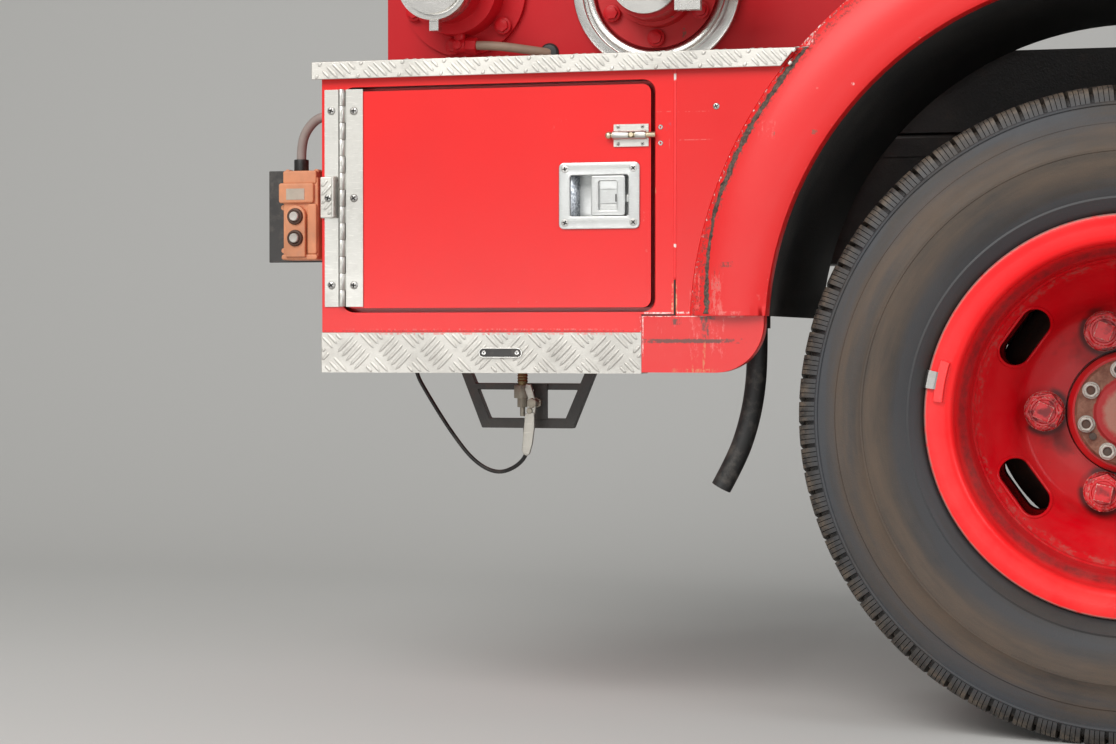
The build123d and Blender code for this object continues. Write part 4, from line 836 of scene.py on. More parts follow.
def rod(name, start, end, radius, sides=24, width=0.0):
    """Round bar from one point to another, or a hexagonal one with six sides."""
    start, end = Vector(start), Vector(end)
    bm = bmesh.new()
    bmesh.ops.create_cone(
        bm, cap_ends=True, segments=sides, radius1=radius, radius2=radius, depth=(end - start).length
    )
    turn = (end - start).to_track_quat("Z", "Y").to_matrix().to_4x4()
    bmesh.ops.transform(bm, matrix=Matrix.Translation((start + end) / 2) @ turn, verts=bm.verts)
    return softened(name, bm, width)


def cut(piece, cutter):
    """Boolean difference, applied; the cutter is deleted."""
    modifier = piece.modifiers.new("cut", "BOOLEAN")
    modifier.object = cutter
    modifier.solver = "EXACT"
    made = baked(piece, piece.name)
    bpy.data.objects.remove(cutter)
    return made


# %% [markdown]
# ## Repeats with Geometry Nodes
# Screws, rivets, tread blocks and the bars of the tread plate all repeat one small shape. A tree
# puts that shape on every point of a guide mesh, turns it as the guide's own numbers say, makes
# the copies real and gives them their finish. The result is then stored as a plain mesh.

# %% A tree that repeats a shape on points


def repeat_tree():
    tree = bpy.data.node_groups.new("repeat_on_points", "GeometryNodeTree")
    face = tree.interface
    face.new_socket(name="Guide", in_out="INPUT", socket_type="NodeSocketGeometry")
    face.new_socket(name="Shape", in_out="INPUT", socket_type="NodeSocketObject")
    face.new_socket(name="Finish", in_out="INPUT", socket_type="NodeSocketMaterial")
    face.new_socket(name="Turn spread", in_out="INPUT", socket_type="NodeSocketFloat")
    face.new_socket(name="Seed", in_out="INPUT", socket_type="NodeSocketInt")
    face.new_socket(name="Copies", in_out="OUTPUT", socket_type="NodeSocketGeometry")
    net = Net(tree)
    given = net.add("NodeGroupInput").outputs
    turn = net.add("GeometryNodeInputNamedAttribute", {"Name": "turn"}, data_type="FLOAT_VECTOR").outputs[0]
    low = net.times(given["Turn spread"], -1.0)
    jitter = net.add("FunctionNodeRandomValue", data_type="FLOAT")
    net.feed(low, jitter.inputs[2])
    net.feed(given["Turn spread"], jitter.inputs[3])
    net.feed(given["Seed"], jitter.inputs["Seed"])
    size = net.add("GeometryNodeInputNamedAttribute", {"Name": "length"}, data_type="FLOAT_VECTOR").outputs[0]
    spin = net.add("ShaderNodeCombineXYZ", {"Y": jitter.outputs[1]}).outputs[0]
    total = net.add("ShaderNodeVectorMath", {0: turn, 1: spin}, operation="ADD").outputs[0]
    shape = net.add("GeometryNodeObjectInfo", {"Object": given["Shape"]}).outputs["Geometry"]
    copies = net.add("GeometryNodeInstanceOnPoints", {
        "Points": given["Guide"], "Instance": shape, "Rotation": total, "Scale": size,
    }).outputs[0]
    real = net.add("GeometryNodeRealizeInstances", {"Geometry": copies}).outputs[0]
    done = net.add("GeometryNodeSetMaterial", {"Geometry": real, "Material": given["Finish"]}).outputs[0]
    result = net.add("NodeGroupOutput").inputs
    net.feed(done, result["Copies"])
    return tree


REPEAT = repeat_tree()


def repeated(name, shape, spots, material, turn_spread=0.0, seed=1):
    """Copies of a shape: spots are (x, y, z, turn x, turn y, turn z), then a length factor if any."""
    mesh = bpy.data.meshes.new(name)
    mesh.from_pydata([s[:3] for s in spots], [], [])
    turns = mesh.attributes.new("turn", "FLOAT_VECTOR", "POINT")
    lengths = mesh.attributes.new("length", "FLOAT_VECTOR", "POINT")
    for turn, length, spot in zip(turns.data, lengths.data, spots):
        turn.vector = spot[3:6]
        length.vector = (spot[6] if len(spot) > 6 else 1.0, 1.0, 1.0)
    guide = linked(name, mesh)
    modifier = guide.modifiers.new("repeat", "NODES")
    modifier.node_group = REPEAT
    sockets = {s.name: s.identifier for s in REPEAT.interface.items_tree if s.in_out == "INPUT"}
    given = {"Shape": shape, "Finish": material, "Turn spread": turn_spread, "Seed": seed}
    for label, value in given.items():
        modifier[sockets[label]] = value
    made = baked(guide, name)
    bpy.data.objects.remove(shape)
    return with_auto_smooth(made)


print("makers ready")

# %% [markdown]
# ## Cords
# Three cords hang in view, and their routes were settled with the solid model, so each is the
# same list of points here. A thin cable loops from the locker's floor to the cock's guard, a
# drain hose hangs from its spout, and a grey lead arches from the pendant into the locker.
# Each is one smooth spline, because a real cord has no corners.

# %% Three cords


def z_of(height_mm):
    """Z in metres of a height above the floor in millimetres."""
    return height_mm * MM + FLOOR_Z


CABLE_ROUTE = [
    (-880, -430, 453), (-880, -430, 420), (-857, -431, 382), (-829, -434, 341), (-798, -438, 304),
    (-766, -444, 289), (-737, -454, 299), (-719, -466, 318), (-719, -466, 340),
]
HOSE_ROUTE = [
    (-431, -488, 470), (-431, -488, 430), (-434, -490, 390), (-442, -490, 352), (-455, -490, 315),
    (-474, -491, 280),
]
LEAD_ROUTE = [
    (-1010.5, -480, 682), (-1010.5, -480, 702), (-1002, -480, 722), (-984, -480, 737), (-963, -480, 737),
]


def spline_curve(name, route, radius, order=3, resolution=16):
    """A round bar on one smooth spline whose control points are the route's, in millimetres."""
    curve = bpy.data.curves.new(name, "CURVE")
    curve.dimensions = "3D"
    curve.bevel_depth = radius
    curve.bevel_resolution = 6
    curve.use_fill_caps = True
    spline = add_spline(curve, "NURBS", [(x * MM, y * MM, z_of(height)) for x, y, height in route])
    spline.order_u = order
    spline.use_endpoint_u = True
    spline.resolution_u = resolution
    return linked(name, curve)


def route_length(cord_object):
    """Length of the cord's own line, measured along its curve without its thickness."""
    plain = cord_object.copy()
    plain.data = cord_object.data.copy()
    plain.data.bevel_depth = 0.0
    scene.collection.objects.link(plain)
    line = baked(plain, "route_line")
    spots = [v.co.copy() for v in line.data.vertices]
    bpy.data.objects.remove(line)
    return sum((b - a).length for a, b in zip(spots, spots[1:]))


def hang(name, node, route, radius, material):
    """One cord on a fixed route that stands for the frame's own plain one; its length is printed."""
    made = spline_curve(name, route, radius)
    length = route_length(made)
    made.data.materials.append(material)
    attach(made, "root")
    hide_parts(node)
    print(name, round(length * 1000), "mm")


hang("thin_cable", "drain_cable", CABLE_ROUTE, 0.0025, cable_rubber)
hang("drain_hose_run", "drain_hose", HOSE_ROUTE, 0.0125, hose_rubber)
hang("pendant_lead_run", "pendant_lead", LEAD_ROUTE, 0.006, lead_sheath)

# %% [markdown]
# ## Twin tyres
# Each tyre is a carcass turned from a fine profile, with the rim line, the dust line and the ridge
# where the shoulder begins. The tread is one pitch of blocks, each block sliced by thin sipes,
# and a Geometry Nodes tree sets that pitch round the axle. A winter tyre has shoulder blocks that
# wrap on to the sidewall, so the blocks follow the same outline as the plain tyre of the frame.

# %% Tyre carcass
OUTER_TYRE_Y, INNER_TYRE_Y = -0.4575, -0.2225
# Depth from the tyre's middle and radius, from the bead to the tread's floor, in millimetres
SIDEWALL = (
    (75.5, 203), (75.5, 229.4), (79.5, 231), (84.5, 235.5), (88.6, 242), (90.2, 244.2), (91.6, 246.2),
    (90.9, 248.6), (92.2, 251), (96.2, 262), (99.6, 275), (101.6, 287), (102.2, 297.6), (103.1, 298.6),
    (103.1, 300.6), (102.2, 301.8), (101.4, 315), (99.4, 329), (97.9, 330.2), (95.9, 343),
    (94.6, 349.6), (96.2, 350.8), (96.4, 352.8), (94.6, 354.4), (89.5, 356), (86, 361.5), (80, 366),
    (60, 367.6), (30, 368.6),
)
LUG_PITCHES = 85
LUG_FACE = (
    (94.9, 354), (93.8, 360), (92.0, 366), (89.2, 370.6), (84.6, 373.2), (72, 374.6), (54, 375.8),
    (34.5, 376.8),
)
LUG_BACK = ((34.5, 366.5), (72, 365.5), (82, 361), (87.5, 355))
RIB_FACE = ((25.5, 377.1), (9, 377.4), (-9, 377.4), (-25.5, 377.1))
RIB_BACK = ((-25.5, 366.5), (25.5, 366.5))
CROSS_GROOVE_DEG, SIPE_DEG, SLICES = 0.78, 0.13, 4


def tyre_carcass(name, centre_y):
    """The tyre without its tread, mirrored about its own middle."""
    half = [(u * MM, r * MM) for u, r in SIDEWALL]
    profile = [(centre_y - u, r) for u, r in half] + [(centre_y + u, r) for u, r in reversed(half)]
    return turned(name, profile, segments=240)


def swept_block(bm, outline, start_deg, end_deg, lean):
    """One closed slice of a block between two angles; lean turns it along the tread's width."""
    rings = []
    for angle in (start_deg, end_deg):
        ring = []
        for u, r in outline:
            t = math.radians(angle + lean * (95.0 - abs(u)) / 60.0)
            ring.append(bm.verts.new((r * MM * math.sin(t), u * MM, r * MM * math.cos(t))))
        rings.append(ring)
    skin(bm, rings)


def tread_pitch(name):
    """The blocks of one pitch: a sliced lug on each shoulder and a rib block between them."""
    bm = bmesh.new()
    pitch = 360.0 / LUG_PITCHES
    slice_deg = (pitch - CROSS_GROOVE_DEG - (SLICES - 1) * SIPE_DEG) / SLICES
    lug = LUG_FACE + LUG_BACK
    far_lug = tuple((-u, r) for u, r in lug)
    rib = RIB_FACE + RIB_BACK
    for outline, offset, lean in ((lug, 0.0, 1.4), (far_lug, pitch / 2, -1.4), (rib, pitch / 4, 0.6)):
        for i in range(SLICES):
            start = offset + i * (slice_deg + SIPE_DEG)
            swept_block(bm, outline, start, start + slice_deg, lean)
    return from_bmesh(name, bm)


def tyre_piece(name, centre_y, first_turn):
    spots = []
    for i in range(LUG_PITCHES):
        turn = first_turn + 2 * math.pi * i / LUG_PITCHES
        spots.append((0.0, centre_y, AXLE_Z, 0.0, turn, 0.0))
    tread = repeated(name + "_tread", tread_pitch("tread_pitch"), spots, tyre_black)
    return joined(name, [tyre_carcass(name + "_carcass", centre_y), tread])


dress(tyre_piece("outer_tyre", OUTER_TYRE_Y, 0.0), tyre_black, "wheel", ("tyre_outer",))
dress(tyre_piece("inner_tyre", INNER_TYRE_Y, 0.02), tyre_black, "wheel", ("tyre_inner",))
print("tyres ready")

# %% [markdown]
# ## Twin disc wheels
# Rim and disc are one turned outline: the rolled lip, the bead seat, the drop centre, and then
# the deep dish down to the flat that is bolted to the hub. The inner wheel is the same wheel the
# other way round. Five slots are cut through each dish, and the outer wheel's have a rolled edge.

# %% Wheel profile and slots
# Depth inboard from the rim's middle and radius, in millimetres: lip to dish, then flat and back
WHEEL_LIP = (
    (-76, 229), (-80, 229.6), (-83.4, 228), (-84.6, 224.6), (-83.7, 214), (-83, 206), (-82, 201.4),
    (-79, 198), (-73, 196.4), (-62, 195.8), (-57, 194.4), (-51, 190.6), (-46, 186), (-41.5, 183.6),
    (-36, 182.8), (17, 182.6), (19, 180.6), (23, 180), (27, 178.4),
)
DISH_FRONT = (
    (29.5, 175.6), (33.5, 172.6), (42, 168), (51, 161.5), (59, 154), (67, 147.4), (77, 141.6),
    (88, 136.6), (97.5, 132.6), (103, 128.4), (105.5, 122), (105.5, 77),
)
DISH_BACK = (
    (117.5, 77), (117.5, 133), (115, 138.6), (109, 142.6), (98, 147.6), (87, 156.6), (77, 167),
    (69, 175), (63, 179.6), (56, 182.2), (47, 183.4), (43.6, 185.2), (46.6, 189.4), (50.6, 194),
    (57, 196), (73, 196.4), (79, 198), (82, 201.4), (83, 206), (83.7, 214), (84.6, 224.6),
    (83.4, 228), (80, 229.6), (76, 229),
)
TYRE_SIDE = ((76, 203), (48, 203), (38, 190), (-38, 190), (-48, 203), (-76, 203))
SLOT_COUNT, SLOT_R, SLOT_LONG, SLOT_WIDE = 5, 0.152, 0.079, 0.036
# Depths of the cutter that opens the slots, inboard from the rim's middle
CUT_NEAR, CUT_FAR = 0.022, 0.125


def stadium(long, wide):
    """Outline of a slot with round ends, along its own first axis."""
    r, half = wide / 2, (long - wide) / 2
    right = arc_points(half, 0.0, r, -90, 90, 14)
    left = [(-x, -z) for x, z in right]
    return right + left


def slot_spots(turn_deg):
    """Points of one slot's outline round the axle, as (x, z)."""
    t = math.radians(turn_deg)
    spots = []
    for along, out in stadium(SLOT_LONG, SLOT_WIDE):
        x = (SLOT_R + out) * math.cos(t) - along * math.sin(t)
        z = (SLOT_R + out) * math.sin(t) + along * math.cos(t)
        spots.append((x, z))
    return spots


SLOT_TURNS = [FIRST_STUD_DEG + (i + 0.5) * 360.0 / SLOT_COUNT for i in range(SLOT_COUNT)]


def dish_depth(radius):
    """Depth of the dish's front face at a radius, read off its profile."""
    front = [(r * MM, u * MM) for u, r in DISH_FRONT]
    for (r0, u0), (r1, u1) in zip(front, front[1:]):
        if r1 <= radius <= r0:
            return u0 + (u1 - u0) * (r0 - radius) / max(r0 - r1, 1e-9)
    return front[0][1]


def wheel_body(name, centre_y, inboard):
    """Rim and disc with the slots cut through; inboard is 1, or -1 for the wheel turned round."""
    outline = WHEEL_LIP + DISH_FRONT + DISH_BACK + TYRE_SIDE
    profile = [(centre_y + inboard * u * MM, r * MM) for u, r in outline]
    body = turned(name, profile, segments=200)
    bm = bmesh.new()
    depths = (centre_y + inboard * CUT_NEAR, centre_y + inboard * CUT_FAR)
    for turn in SLOT_TURNS:
        skin(bm, [[bm.verts.new((x, y, z + AXLE_Z)) for x, z in slot_spots(turn)] for y in depths])
    return with_auto_smooth(cut(body, from_bmesh("slot_cutter", bm)))


def rolled_slot_edges(name, centre_y):
    """A thin bead round each slot, lying on the dish."""
    curve = bpy.data.curves.new(name, "CURVE")
    curve.dimensions = "3D"
    curve.bevel_depth = 0.0021
    curve.bevel_resolution = 3
    for turn in SLOT_TURNS:
        spots = [(x, centre_y + dish_depth(math.hypot(x, z)), z + AXLE_Z) for x, z in slot_spots(turn)]
        add_spline(curve, "POLY", spots, closed=True)
    return baked(linked(name, curve), name)


dress(wheel_body("outer_wheel", OUTER_TYRE_Y, 1), wheel_enamel, "wheel", ("wheel_outer",))
dress(wheel_body("inner_wheel", INNER_TYRE_Y, -1), wheel_enamel, "wheel", ("wheel_inner",))
dress(rolled_slot_edges("slot_edges", OUTER_TYRE_Y), wheel_enamel, "wheel")

# %% [markdown]
# ## Wheel nuts and the drive flange
# Twin wheels of this kind are held by double nuts: a square inner nut for the inner wheel, inside
# a hexagon for the outer one. Spanners have worn the paint off their corners. In the middle is
# the half shaft's flange, rusty, with its own ring of nuts.

# %% Nuts and flange
NUT_FACE_Y, FLANGE_FACE_Y = -0.352, -0.397
NUT_FLATS, NUT_TALL, SQUARE_SIDE, SQUARE_TALL = 0.041, 0.025, 0.0205, 0.012
FLANGE_R, FLANGE_NUT_R, FLANGE_NUTS = 0.065, 0.053, 8
JACK_R, JACK_DEG = 0.052, 213.0


def prism(bm, corners, radius, y0, y1, turn=0.0):
    """A straight-sided bar along Y with that many corners, added to a mesh."""
    made = bmesh.ops.create_cone(
        bm, cap_ends=True, segments=corners, radius1=radius, radius2=radius, depth=abs(y1 - y0)
    )["verts"]
    spin = Matrix.Rotation(turn, 4, "Z")
    bmesh.ops.transform(bm, matrix=standing(0.0, (y0 + y1) / 2, 0.0) @ spin, verts=made)


def with_inset_flats(piece, width, least_area):
    """Each flat gets a rim of faces, so that wear found at the edges stays near them."""
    bm = bmesh.new()
    bm.from_mesh(piece.data)
    flats = [f for f in bm.faces if f.calc_area() > least_area]
    bmesh.ops.inset_individual(bm, faces=flats, thickness=width)
    bm.to_mesh(piece.data)
    bm.free()
    return piece


def double_nut(name):
    """Hexagon with a chamfered collar, and the square end of the inner nut."""
    bm = bmesh.new()
    prism(bm, 6, NUT_FLATS / 2 / math.cos(math.radians(30)), -NUT_TALL, -0.001)
    body = with_inset_flats(softened("nut_hex", bm, 0.0016), 0.0016, 0.00008)
    bm = bmesh.new()
    corner_r = SQUARE_SIDE / 2 * math.sqrt(2)
    prism(bm, 4, corner_r, -NUT_TALL - SQUARE_TALL, -NUT_TALL + 0.004, math.radians(45))
    square = with_inset_flats(softened("nut_square", bm, 0.0016), 0.0014, 0.00006)
    collar = turned("nut_collar", [
        (0.0, 0.0), (0.0, 0.0245), (-0.0025, 0.0245), (-0.0045, 0.0225), (-0.0045, 0.0),
    ], AT_ORIGIN, 48)
    chamfer = turned("nut_chamfer", [
        (-0.020, 0.0), (-0.020, 0.0203), (-0.0235, 0.0203), (-0.0266, 0.0165), (-0.0266, 0.0145),
        (-0.0256, 0.0135), (-0.0256, 0.0),
    ], AT_ORIGIN, 48)
    return joined(name, [body, square, collar, chamfer])


def ring_spots(count, radius, y, first_deg, centre=(0.0, AXLE_Z)):
    """Places for repeated() round a line along Y, which is the axle unless a centre is given."""
    spots = []
    for i in range(count):
        t = math.radians(first_deg + 360.0 * i / count)
        x, z = centre[0] + radius * math.cos(t), centre[1] + radius * math.sin(t)
        spots.append((x, y, z, 0.0, 0.0, 0.0))
    return spots


studs = ring_spots(STUD_COUNT, STUD_CIRCLE_R, NUT_FACE_Y, FIRST_STUD_DEG)
nuts = repeated("double_nuts", double_nut("double_nut"), studs, nut_red, 0.5, 3)
dress(nuts, nut_red, "wheel", ("wheel_nuts",))


def drive_flange(name):
    """Flange with its raised middle, forged on the shaft that runs inboard."""
    outer, back, shaft_r, shaft_end = FLANGE_FACE_Y, FLANGE_FACE_Y + 0.012, 0.019, 0.110
    profile = [
        (outer - 0.005, 0.0), (outer - 0.005, 0.030), (outer - 0.0042, 0.0335), (outer - 0.0034, 0.0395),
        (outer - 0.001, 0.0418), (outer, 0.0425), (outer, FLANGE_R - 0.003), (outer + 0.003, FLANGE_R),
        (back, FLANGE_R), (back, shaft_r), (shaft_end, shaft_r), (shaft_end, 0.0),
    ]
    return turned(name, profile, segments=96)


def flange_nut(name):
    """Plain nut on its washer, open in the middle."""
    hexagon = arc_points(0.0, 0.0, 0.0092, 0.0, 300.0, 5)
    hole = arc_points(0.0, 0.0, 0.0052, 0.0, 345.0, 23)
    nut = plate("small_nut", [hexagon, hole], -0.0075, 0.0, 0.0007)
    washer = turned("small_washer", [
        (0.0, 0.0055), (0.0, 0.0106), (-0.0014, 0.0106), (-0.0020, 0.0100), (-0.0020, 0.0055),
    ], AT_ORIGIN, 32)
    return joined(name, [nut, washer])


def stud_end(name):
    return rod(name, (0.0, 0.0, 0.0), (0.0, -0.0052, 0.0), 0.0054, 20, 0.0004)


dress(drive_flange("drive_flange"), drive_rust, "wheel", ("half_shaft",))
flange_spots = ring_spots(FLANGE_NUTS, FLANGE_NUT_R, FLANGE_FACE_Y, 15.0)
flange_nuts = repeated("flange_nuts", flange_nut("flange_nut"), flange_spots, zinc_metal, 0.6, 5)
dress(flange_nuts, zinc_metal, "wheel")
flange_studs = repeated("flange_studs", stud_end("flange_stud"), flange_spots, drum_iron)
dress(flange_studs, drum_iron, "wheel")
x, y, z = ring_spots(1, JACK_R, FLANGE_FACE_Y, JACK_DEG)[0][:3]
jack = rod("jack_screw", (x, y - 0.0025, z), (x, y + 0.001, z), 0.0045, 20, 0.0006)
dress(jack, drum_iron, "wheel")

# %% [markdown]
# The balance weight is a short curved bar clipped over the lip. It is painted over with the wheel, and only
# the clip's steel shows. Its red is lighter than the wheel's, as painted light on the raised bar.

# %% Balance weight
WEIGHT_DEG, WEIGHT_SPAN_DEG, CLIP_SPAN_DEG = 169.5, 12.5, 5.2


def balance_weight():
    """The lead bar: depth out of the lip and radius, turned over a short span."""
    face_y = OUTER_TYRE_Y - 0.0840
    low, high = WEIGHT_DEG - WEIGHT_SPAN_DEG / 2, WEIGHT_DEG + WEIGHT_SPAN_DEG / 2
    outline = (
        (0.0010, 0.2080), (-0.0052, 0.2083), (-0.0060, 0.2092), (-0.0060, 0.2188), (-0.0052, 0.2197),
        (0.0010, 0.2200),
    )
    profile = [(face_y + y, r) for y, r in outline]
    return turned("balance_weight", profile, segments=16, start_deg=low, end_deg=high)


def weight_clip():
    """The spring clip that hooks over the lip's edge at the weight's middle."""
    face_y = OUTER_TYRE_Y - 0.0850
    outline = (
        (-0.0052, 0.2180), (-0.0064, 0.2200), (-0.0035, 0.2290), (0.0010, 0.2315), (0.0060, 0.2318),
        (0.0060, 0.2302), (0.0020, 0.2300), (-0.0010, 0.2275), (-0.0050, 0.2205), (-0.0042, 0.2180),
    )
    profile = [(face_y + y, r) for y, r in outline]
    low, high = WEIGHT_DEG - CLIP_SPAN_DEG / 2, WEIGHT_DEG + CLIP_SPAN_DEG / 2
    return turned("weight_clip", profile, segments=8, start_deg=low, end_deg=high)


dress(balance_weight(), weight_red_lit, "wheel")
dress(weight_clip(), screw_metal, "wheel")
print("wheels ready")

# %% [markdown]
# ## Rolled tread plate
# Tread plate is rolled with groups of five bars, each group turned a quarter from its neighbours,
# and the sheet here is cut so that the bars slant. The bars are real relief, since they catch the
# light on the shelf's lip and on the sill. Each bar is trimmed where the sheet's edge would cut it.

# %% Tread bars
TREAD_CELL, BARS_IN_CELL = 0.0368, 5
BAR_LONG, BAR_WIDE, BAR_HIGH = 0.029, 0.0040, 0.0011
# How deep a bar is rooted in the sheet, the shortest bar that is kept, and the sheet's bare edge
BAR_ROOT, SHORTEST_BAR, BARE_EDGE = 0.0006, 0.005, 0.0012


def tread_bar(name):
    """Lens-shaped bar one unit long, standing out towards -Y."""
    bm = bmesh.new()
    sections = []
    for i in range(9):
        along = -0.5 + i / 8
        fullness = math.sqrt(max(0.0, 1.0 - (2 * along) ** 4)) * 0.94 + 0.06
        ring = []
        for j in range(7):
            t = math.pi * j / 6
            out, up = BAR_HIGH * fullness * math.sin(t), BAR_WIDE / 2 * fullness * math.cos(t)
            ring.append(bm.verts.new((along, -out, up)))
        ring.append(bm.verts.new((along, BAR_ROOT, 0.0)))
        sections.append(ring)
    skin(bm, sections)
    return from_bmesh(name, bm)


def trimmed(centre, heading, length, low, high):
    """Start and end of a line about its centre, kept inside a rectangle, or None."""
    dx, dv = math.cos(heading), math.sin(heading)
    start, end = -length / 2, length / 2
    for origin, step, least, most in zip(centre, (dx, dv), low, high):
        if abs(step) < 1e-9:
            continue
        a, b = sorted(((least - origin) / step, (most - origin) / step))
        start, end = max(start, a), min(end, b)
    if end - start < SHORTEST_BAR:
        return None
    return start, end


def tread_layout(low, high, first=0):
    """(u, v, heading, length) of every bar on a rectangle; first picks the middle group's slant."""
    inner_low = [c + BARE_EDGE for c in low]
    inner_high = [c - BARE_EDGE for c in high]
    reach = int(max(high[0] - low[0], high[1] - low[1]) / TREAD_CELL) + 3
    middle = [(l + h) / 2 for l, h in zip(low, high)]
    slant = math.radians(45)
    bars = []
    for i in range(-reach, reach + 1):
        for j in range(-reach, reach + 1):
            turned_cell = (i + j + first) % 2
            cell_u = middle[0] + (i * math.cos(slant) - j * math.sin(slant)) * TREAD_CELL
            cell_v = middle[1] + (i * math.sin(slant) + j * math.cos(slant)) * TREAD_CELL
            heading = slant + turned_cell * math.pi / 2
            for k in range(BARS_IN_CELL):
                side = (k - (BARS_IN_CELL - 1) / 2) * TREAD_CELL / BARS_IN_CELL
                u = cell_u - side * math.sin(heading)
                v = cell_v + side * math.cos(heading)
                ends = trimmed((u, v), heading, BAR_LONG, inner_low, inner_high)
                if ends:
                    start, end = ends
                    shift = (start + end) / 2
                    u, v = u + shift * math.cos(heading), v + shift * math.sin(heading)
                    bars.append((u, v, heading, end - start))
    return bars


def tread_front(name, x0, x1, z0, z1, y, first=0):
    """Bars on an upright sheet that faces out of the vehicle's side."""
    layout = tread_layout((x0, z0), (x1, z1), first)
    spots = [(u, y, v, 0.0, -heading, 0.0, length) for u, v, heading, length in layout]
    return repeated(name, tread_bar("tread_bar"), spots, tread_metal)


def tread_top(name, x0, x1, y0, y1, z):
    """Bars on a level sheet that faces up."""
    layout = tread_layout((x0, y0), (x1, y1))
    spots = [(u, v, z, math.radians(-90), 0.0, heading, length) for u, v, heading, length in layout]
    return repeated(name, tread_bar("tread_bar"), spots, tread_metal)


shelf_low, shelf_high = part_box("shelf_plate")
sill_low, sill_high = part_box("sill_plate")
clip_low, clip_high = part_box("door_stop_clip")
# The shelf's lip and top end where the flare begins, and the clip's round end stays bare
LIP_TALL, LIP_END_X, TOP_END_X, CLIP_ROUND = 0.021, -0.366, -0.345, 0.003
FACE_Y = -0.580
CLIP_Y = FACE_Y - 0.005
lip_low_z = shelf_high.z - LIP_TALL
TREAD_SHEETS = (
    tread_top("shelf_bars", shelf_low.x, TOP_END_X, shelf_low.y, shelf_high.y, shelf_high.z),
    tread_front("shelf_lip_bars", shelf_low.x, LIP_END_X, lip_low_z, shelf_high.z, shelf_low.y, 1),
    tread_front("sill_bars", sill_low.x, sill_high.x, sill_low.z, sill_high.z, sill_low.y),
    tread_front("clip_bars", clip_low.x, clip_high.x - CLIP_ROUND, clip_low.z, clip_high.z, CLIP_Y),
)
for sheet_bars in TREAD_SHEETS:
    dress(sheet_bars, tread_metal, "root")
print("tread plate ready")

# %% [markdown]
# ## Screws
# Two kinds of cross-head screw hold the side's fittings: domed ones on the hinge and the panels, and flat
# ones sunk in the latch's bezel. Each is turned, and its cross is cut once before the screw is copied to all
# of its places. A dark fill in each cross is painted shade of the recess.

# %% Screw heads


def cross_cutter(name, span, wide, y0, y1):
    """Two tapered bars that cut a screw's cross."""
    bm = bmesh.new()
    for size in ((span, wide), (wide, span)):
        made = bmesh.ops.create_cube(bm, size=1.0)["verts"]
        bmesh.ops.scale(bm, vec=(size[0], y1 - y0, size[1]), verts=made)
        bmesh.ops.translate(bm, vec=(0, (y0 + y1) / 2, 0), verts=made)
        deep = [v for v in made if v.co.y > (y0 + y1) / 2]
        bmesh.ops.scale(bm, vec=(0.6, 1.0, 0.6), verts=deep)
    return from_bmesh(name, bm)


def screw_head(name, radius, proud):
    """A domed head, or a flat one where it stands proud by very little."""
    profile = [(0.0008, 0.0), (0.0008, radius), (0.0, radius)]
    for i in range(1, 7):
        t = math.radians(15 * i)
        profile.append((-proud * math.sin(t), radius * math.cos(t) if i < 6 else 0.0))
    head = turned(name, profile, AT_ORIGIN, 32)
    depth = proud * 0.75 + 0.0006
    head = cut(head, cross_cutter("cross", radius * 1.30, radius * 0.30, -proud - 0.001, -proud + depth))
    return with_auto_smooth(head)


def cross_shade_fill(name, radius, proud):
    """Dark fill in the bottom of the cross: painted shade of the recess."""
    arms = []
    for long, wide in ((0.62, 0.16), (0.16, 0.62)):
        low = (-long * radius, -proud * 1.04, -wide * radius)
        high = (long * radius, -proud * 0.1, wide * radius)
        arms.append(bar("arm", low, high, 0.0))
    return joined(name, arms)


def screws(name, radius, proud, places, y, body, seed):
    """Screws at (x, height over the floor) places on one upright face."""
    spots = [(x * MM, y, z_of(height), 0.0, 0.0, 0.0) for x, height in places]
    # The dark crosses are painted shade of the cross recesses.
    dirt = repeated(name + "_dirt", cross_shade_fill("screw_dirt", radius, proud), spots, dark_plate, 0.9, seed)
    dress(dirt, dark_plate, body)
    made = repeated(name, screw_head("screw_head", radius, proud), spots, screw_metal, 0.9, seed)
    return dress(made, screw_metal, body)


HINGE_Y, BEZEL_Y = FACE_Y - 0.002, FACE_Y - 0.0025
FIXED_LEAF_SCREWS = ((-933.6, 731.7), (-933.6, 522.0))
DOOR_LEAF_SCREWS = ((-905.0, 731.0), (-905.0, 626.5), (-905.0, 522.0))
CLIP_SCREW, PANEL_SCREW = ((-936.5, 627.0),), ((-464.0, 726.0),)
LATCH_SCREWS = tuple((-602.5 + sx * 41.0, 625.0 + sz * 31.5) for sx in (-1, 1) for sz in (-1, 1))
BOLT_SCREWS = tuple((x, 694.5 + side * 10.0) for x in (-579.5, -550.5) for side in (-1, 1))
screws("hinge_screws_frame", 0.0050, 0.0022, FIXED_LEAF_SCREWS, HINGE_Y, "root", 4)
screws("hinge_screws_door", 0.0050, 0.0022, DOOR_LEAF_SCREWS, HINGE_Y, "locker_door", 5)
screws("clip_screw", 0.0050, 0.0022, CLIP_SCREW, CLIP_Y, "root", 6)
screws("latch_screws", 0.0045, 0.0006, LATCH_SCREWS, BEZEL_Y, "locker_door", 7)
screws("panel_screw", 0.0040, 0.0016, PANEL_SCREW, FACE_Y, "root", 8)
screws("bolt_screws", 0.0022, 0.0009, BOLT_SCREWS, HINGE_Y, "locker_door", 9)
print("screws ready")

# %% [markdown]
# ## Marks on the panels
# Two rivets show where the bolt's keeper was once fixed. A blank oval plate is screwed to the
# sill. Sealant was smeared along the join of the side panel and the arch, and it has cracked.

# %% Rivets, name plate and sealant


def hollow_rivet(name):
    profile = [
        (0.0006, 0.0008), (0.0006, 0.0030), (-0.0003, 0.0030), (-0.0008, 0.0026), (-0.0008, 0.0012),
        (-0.0002, 0.0008),
    ]
    return turned(name, profile, AT_ORIGIN, 28)


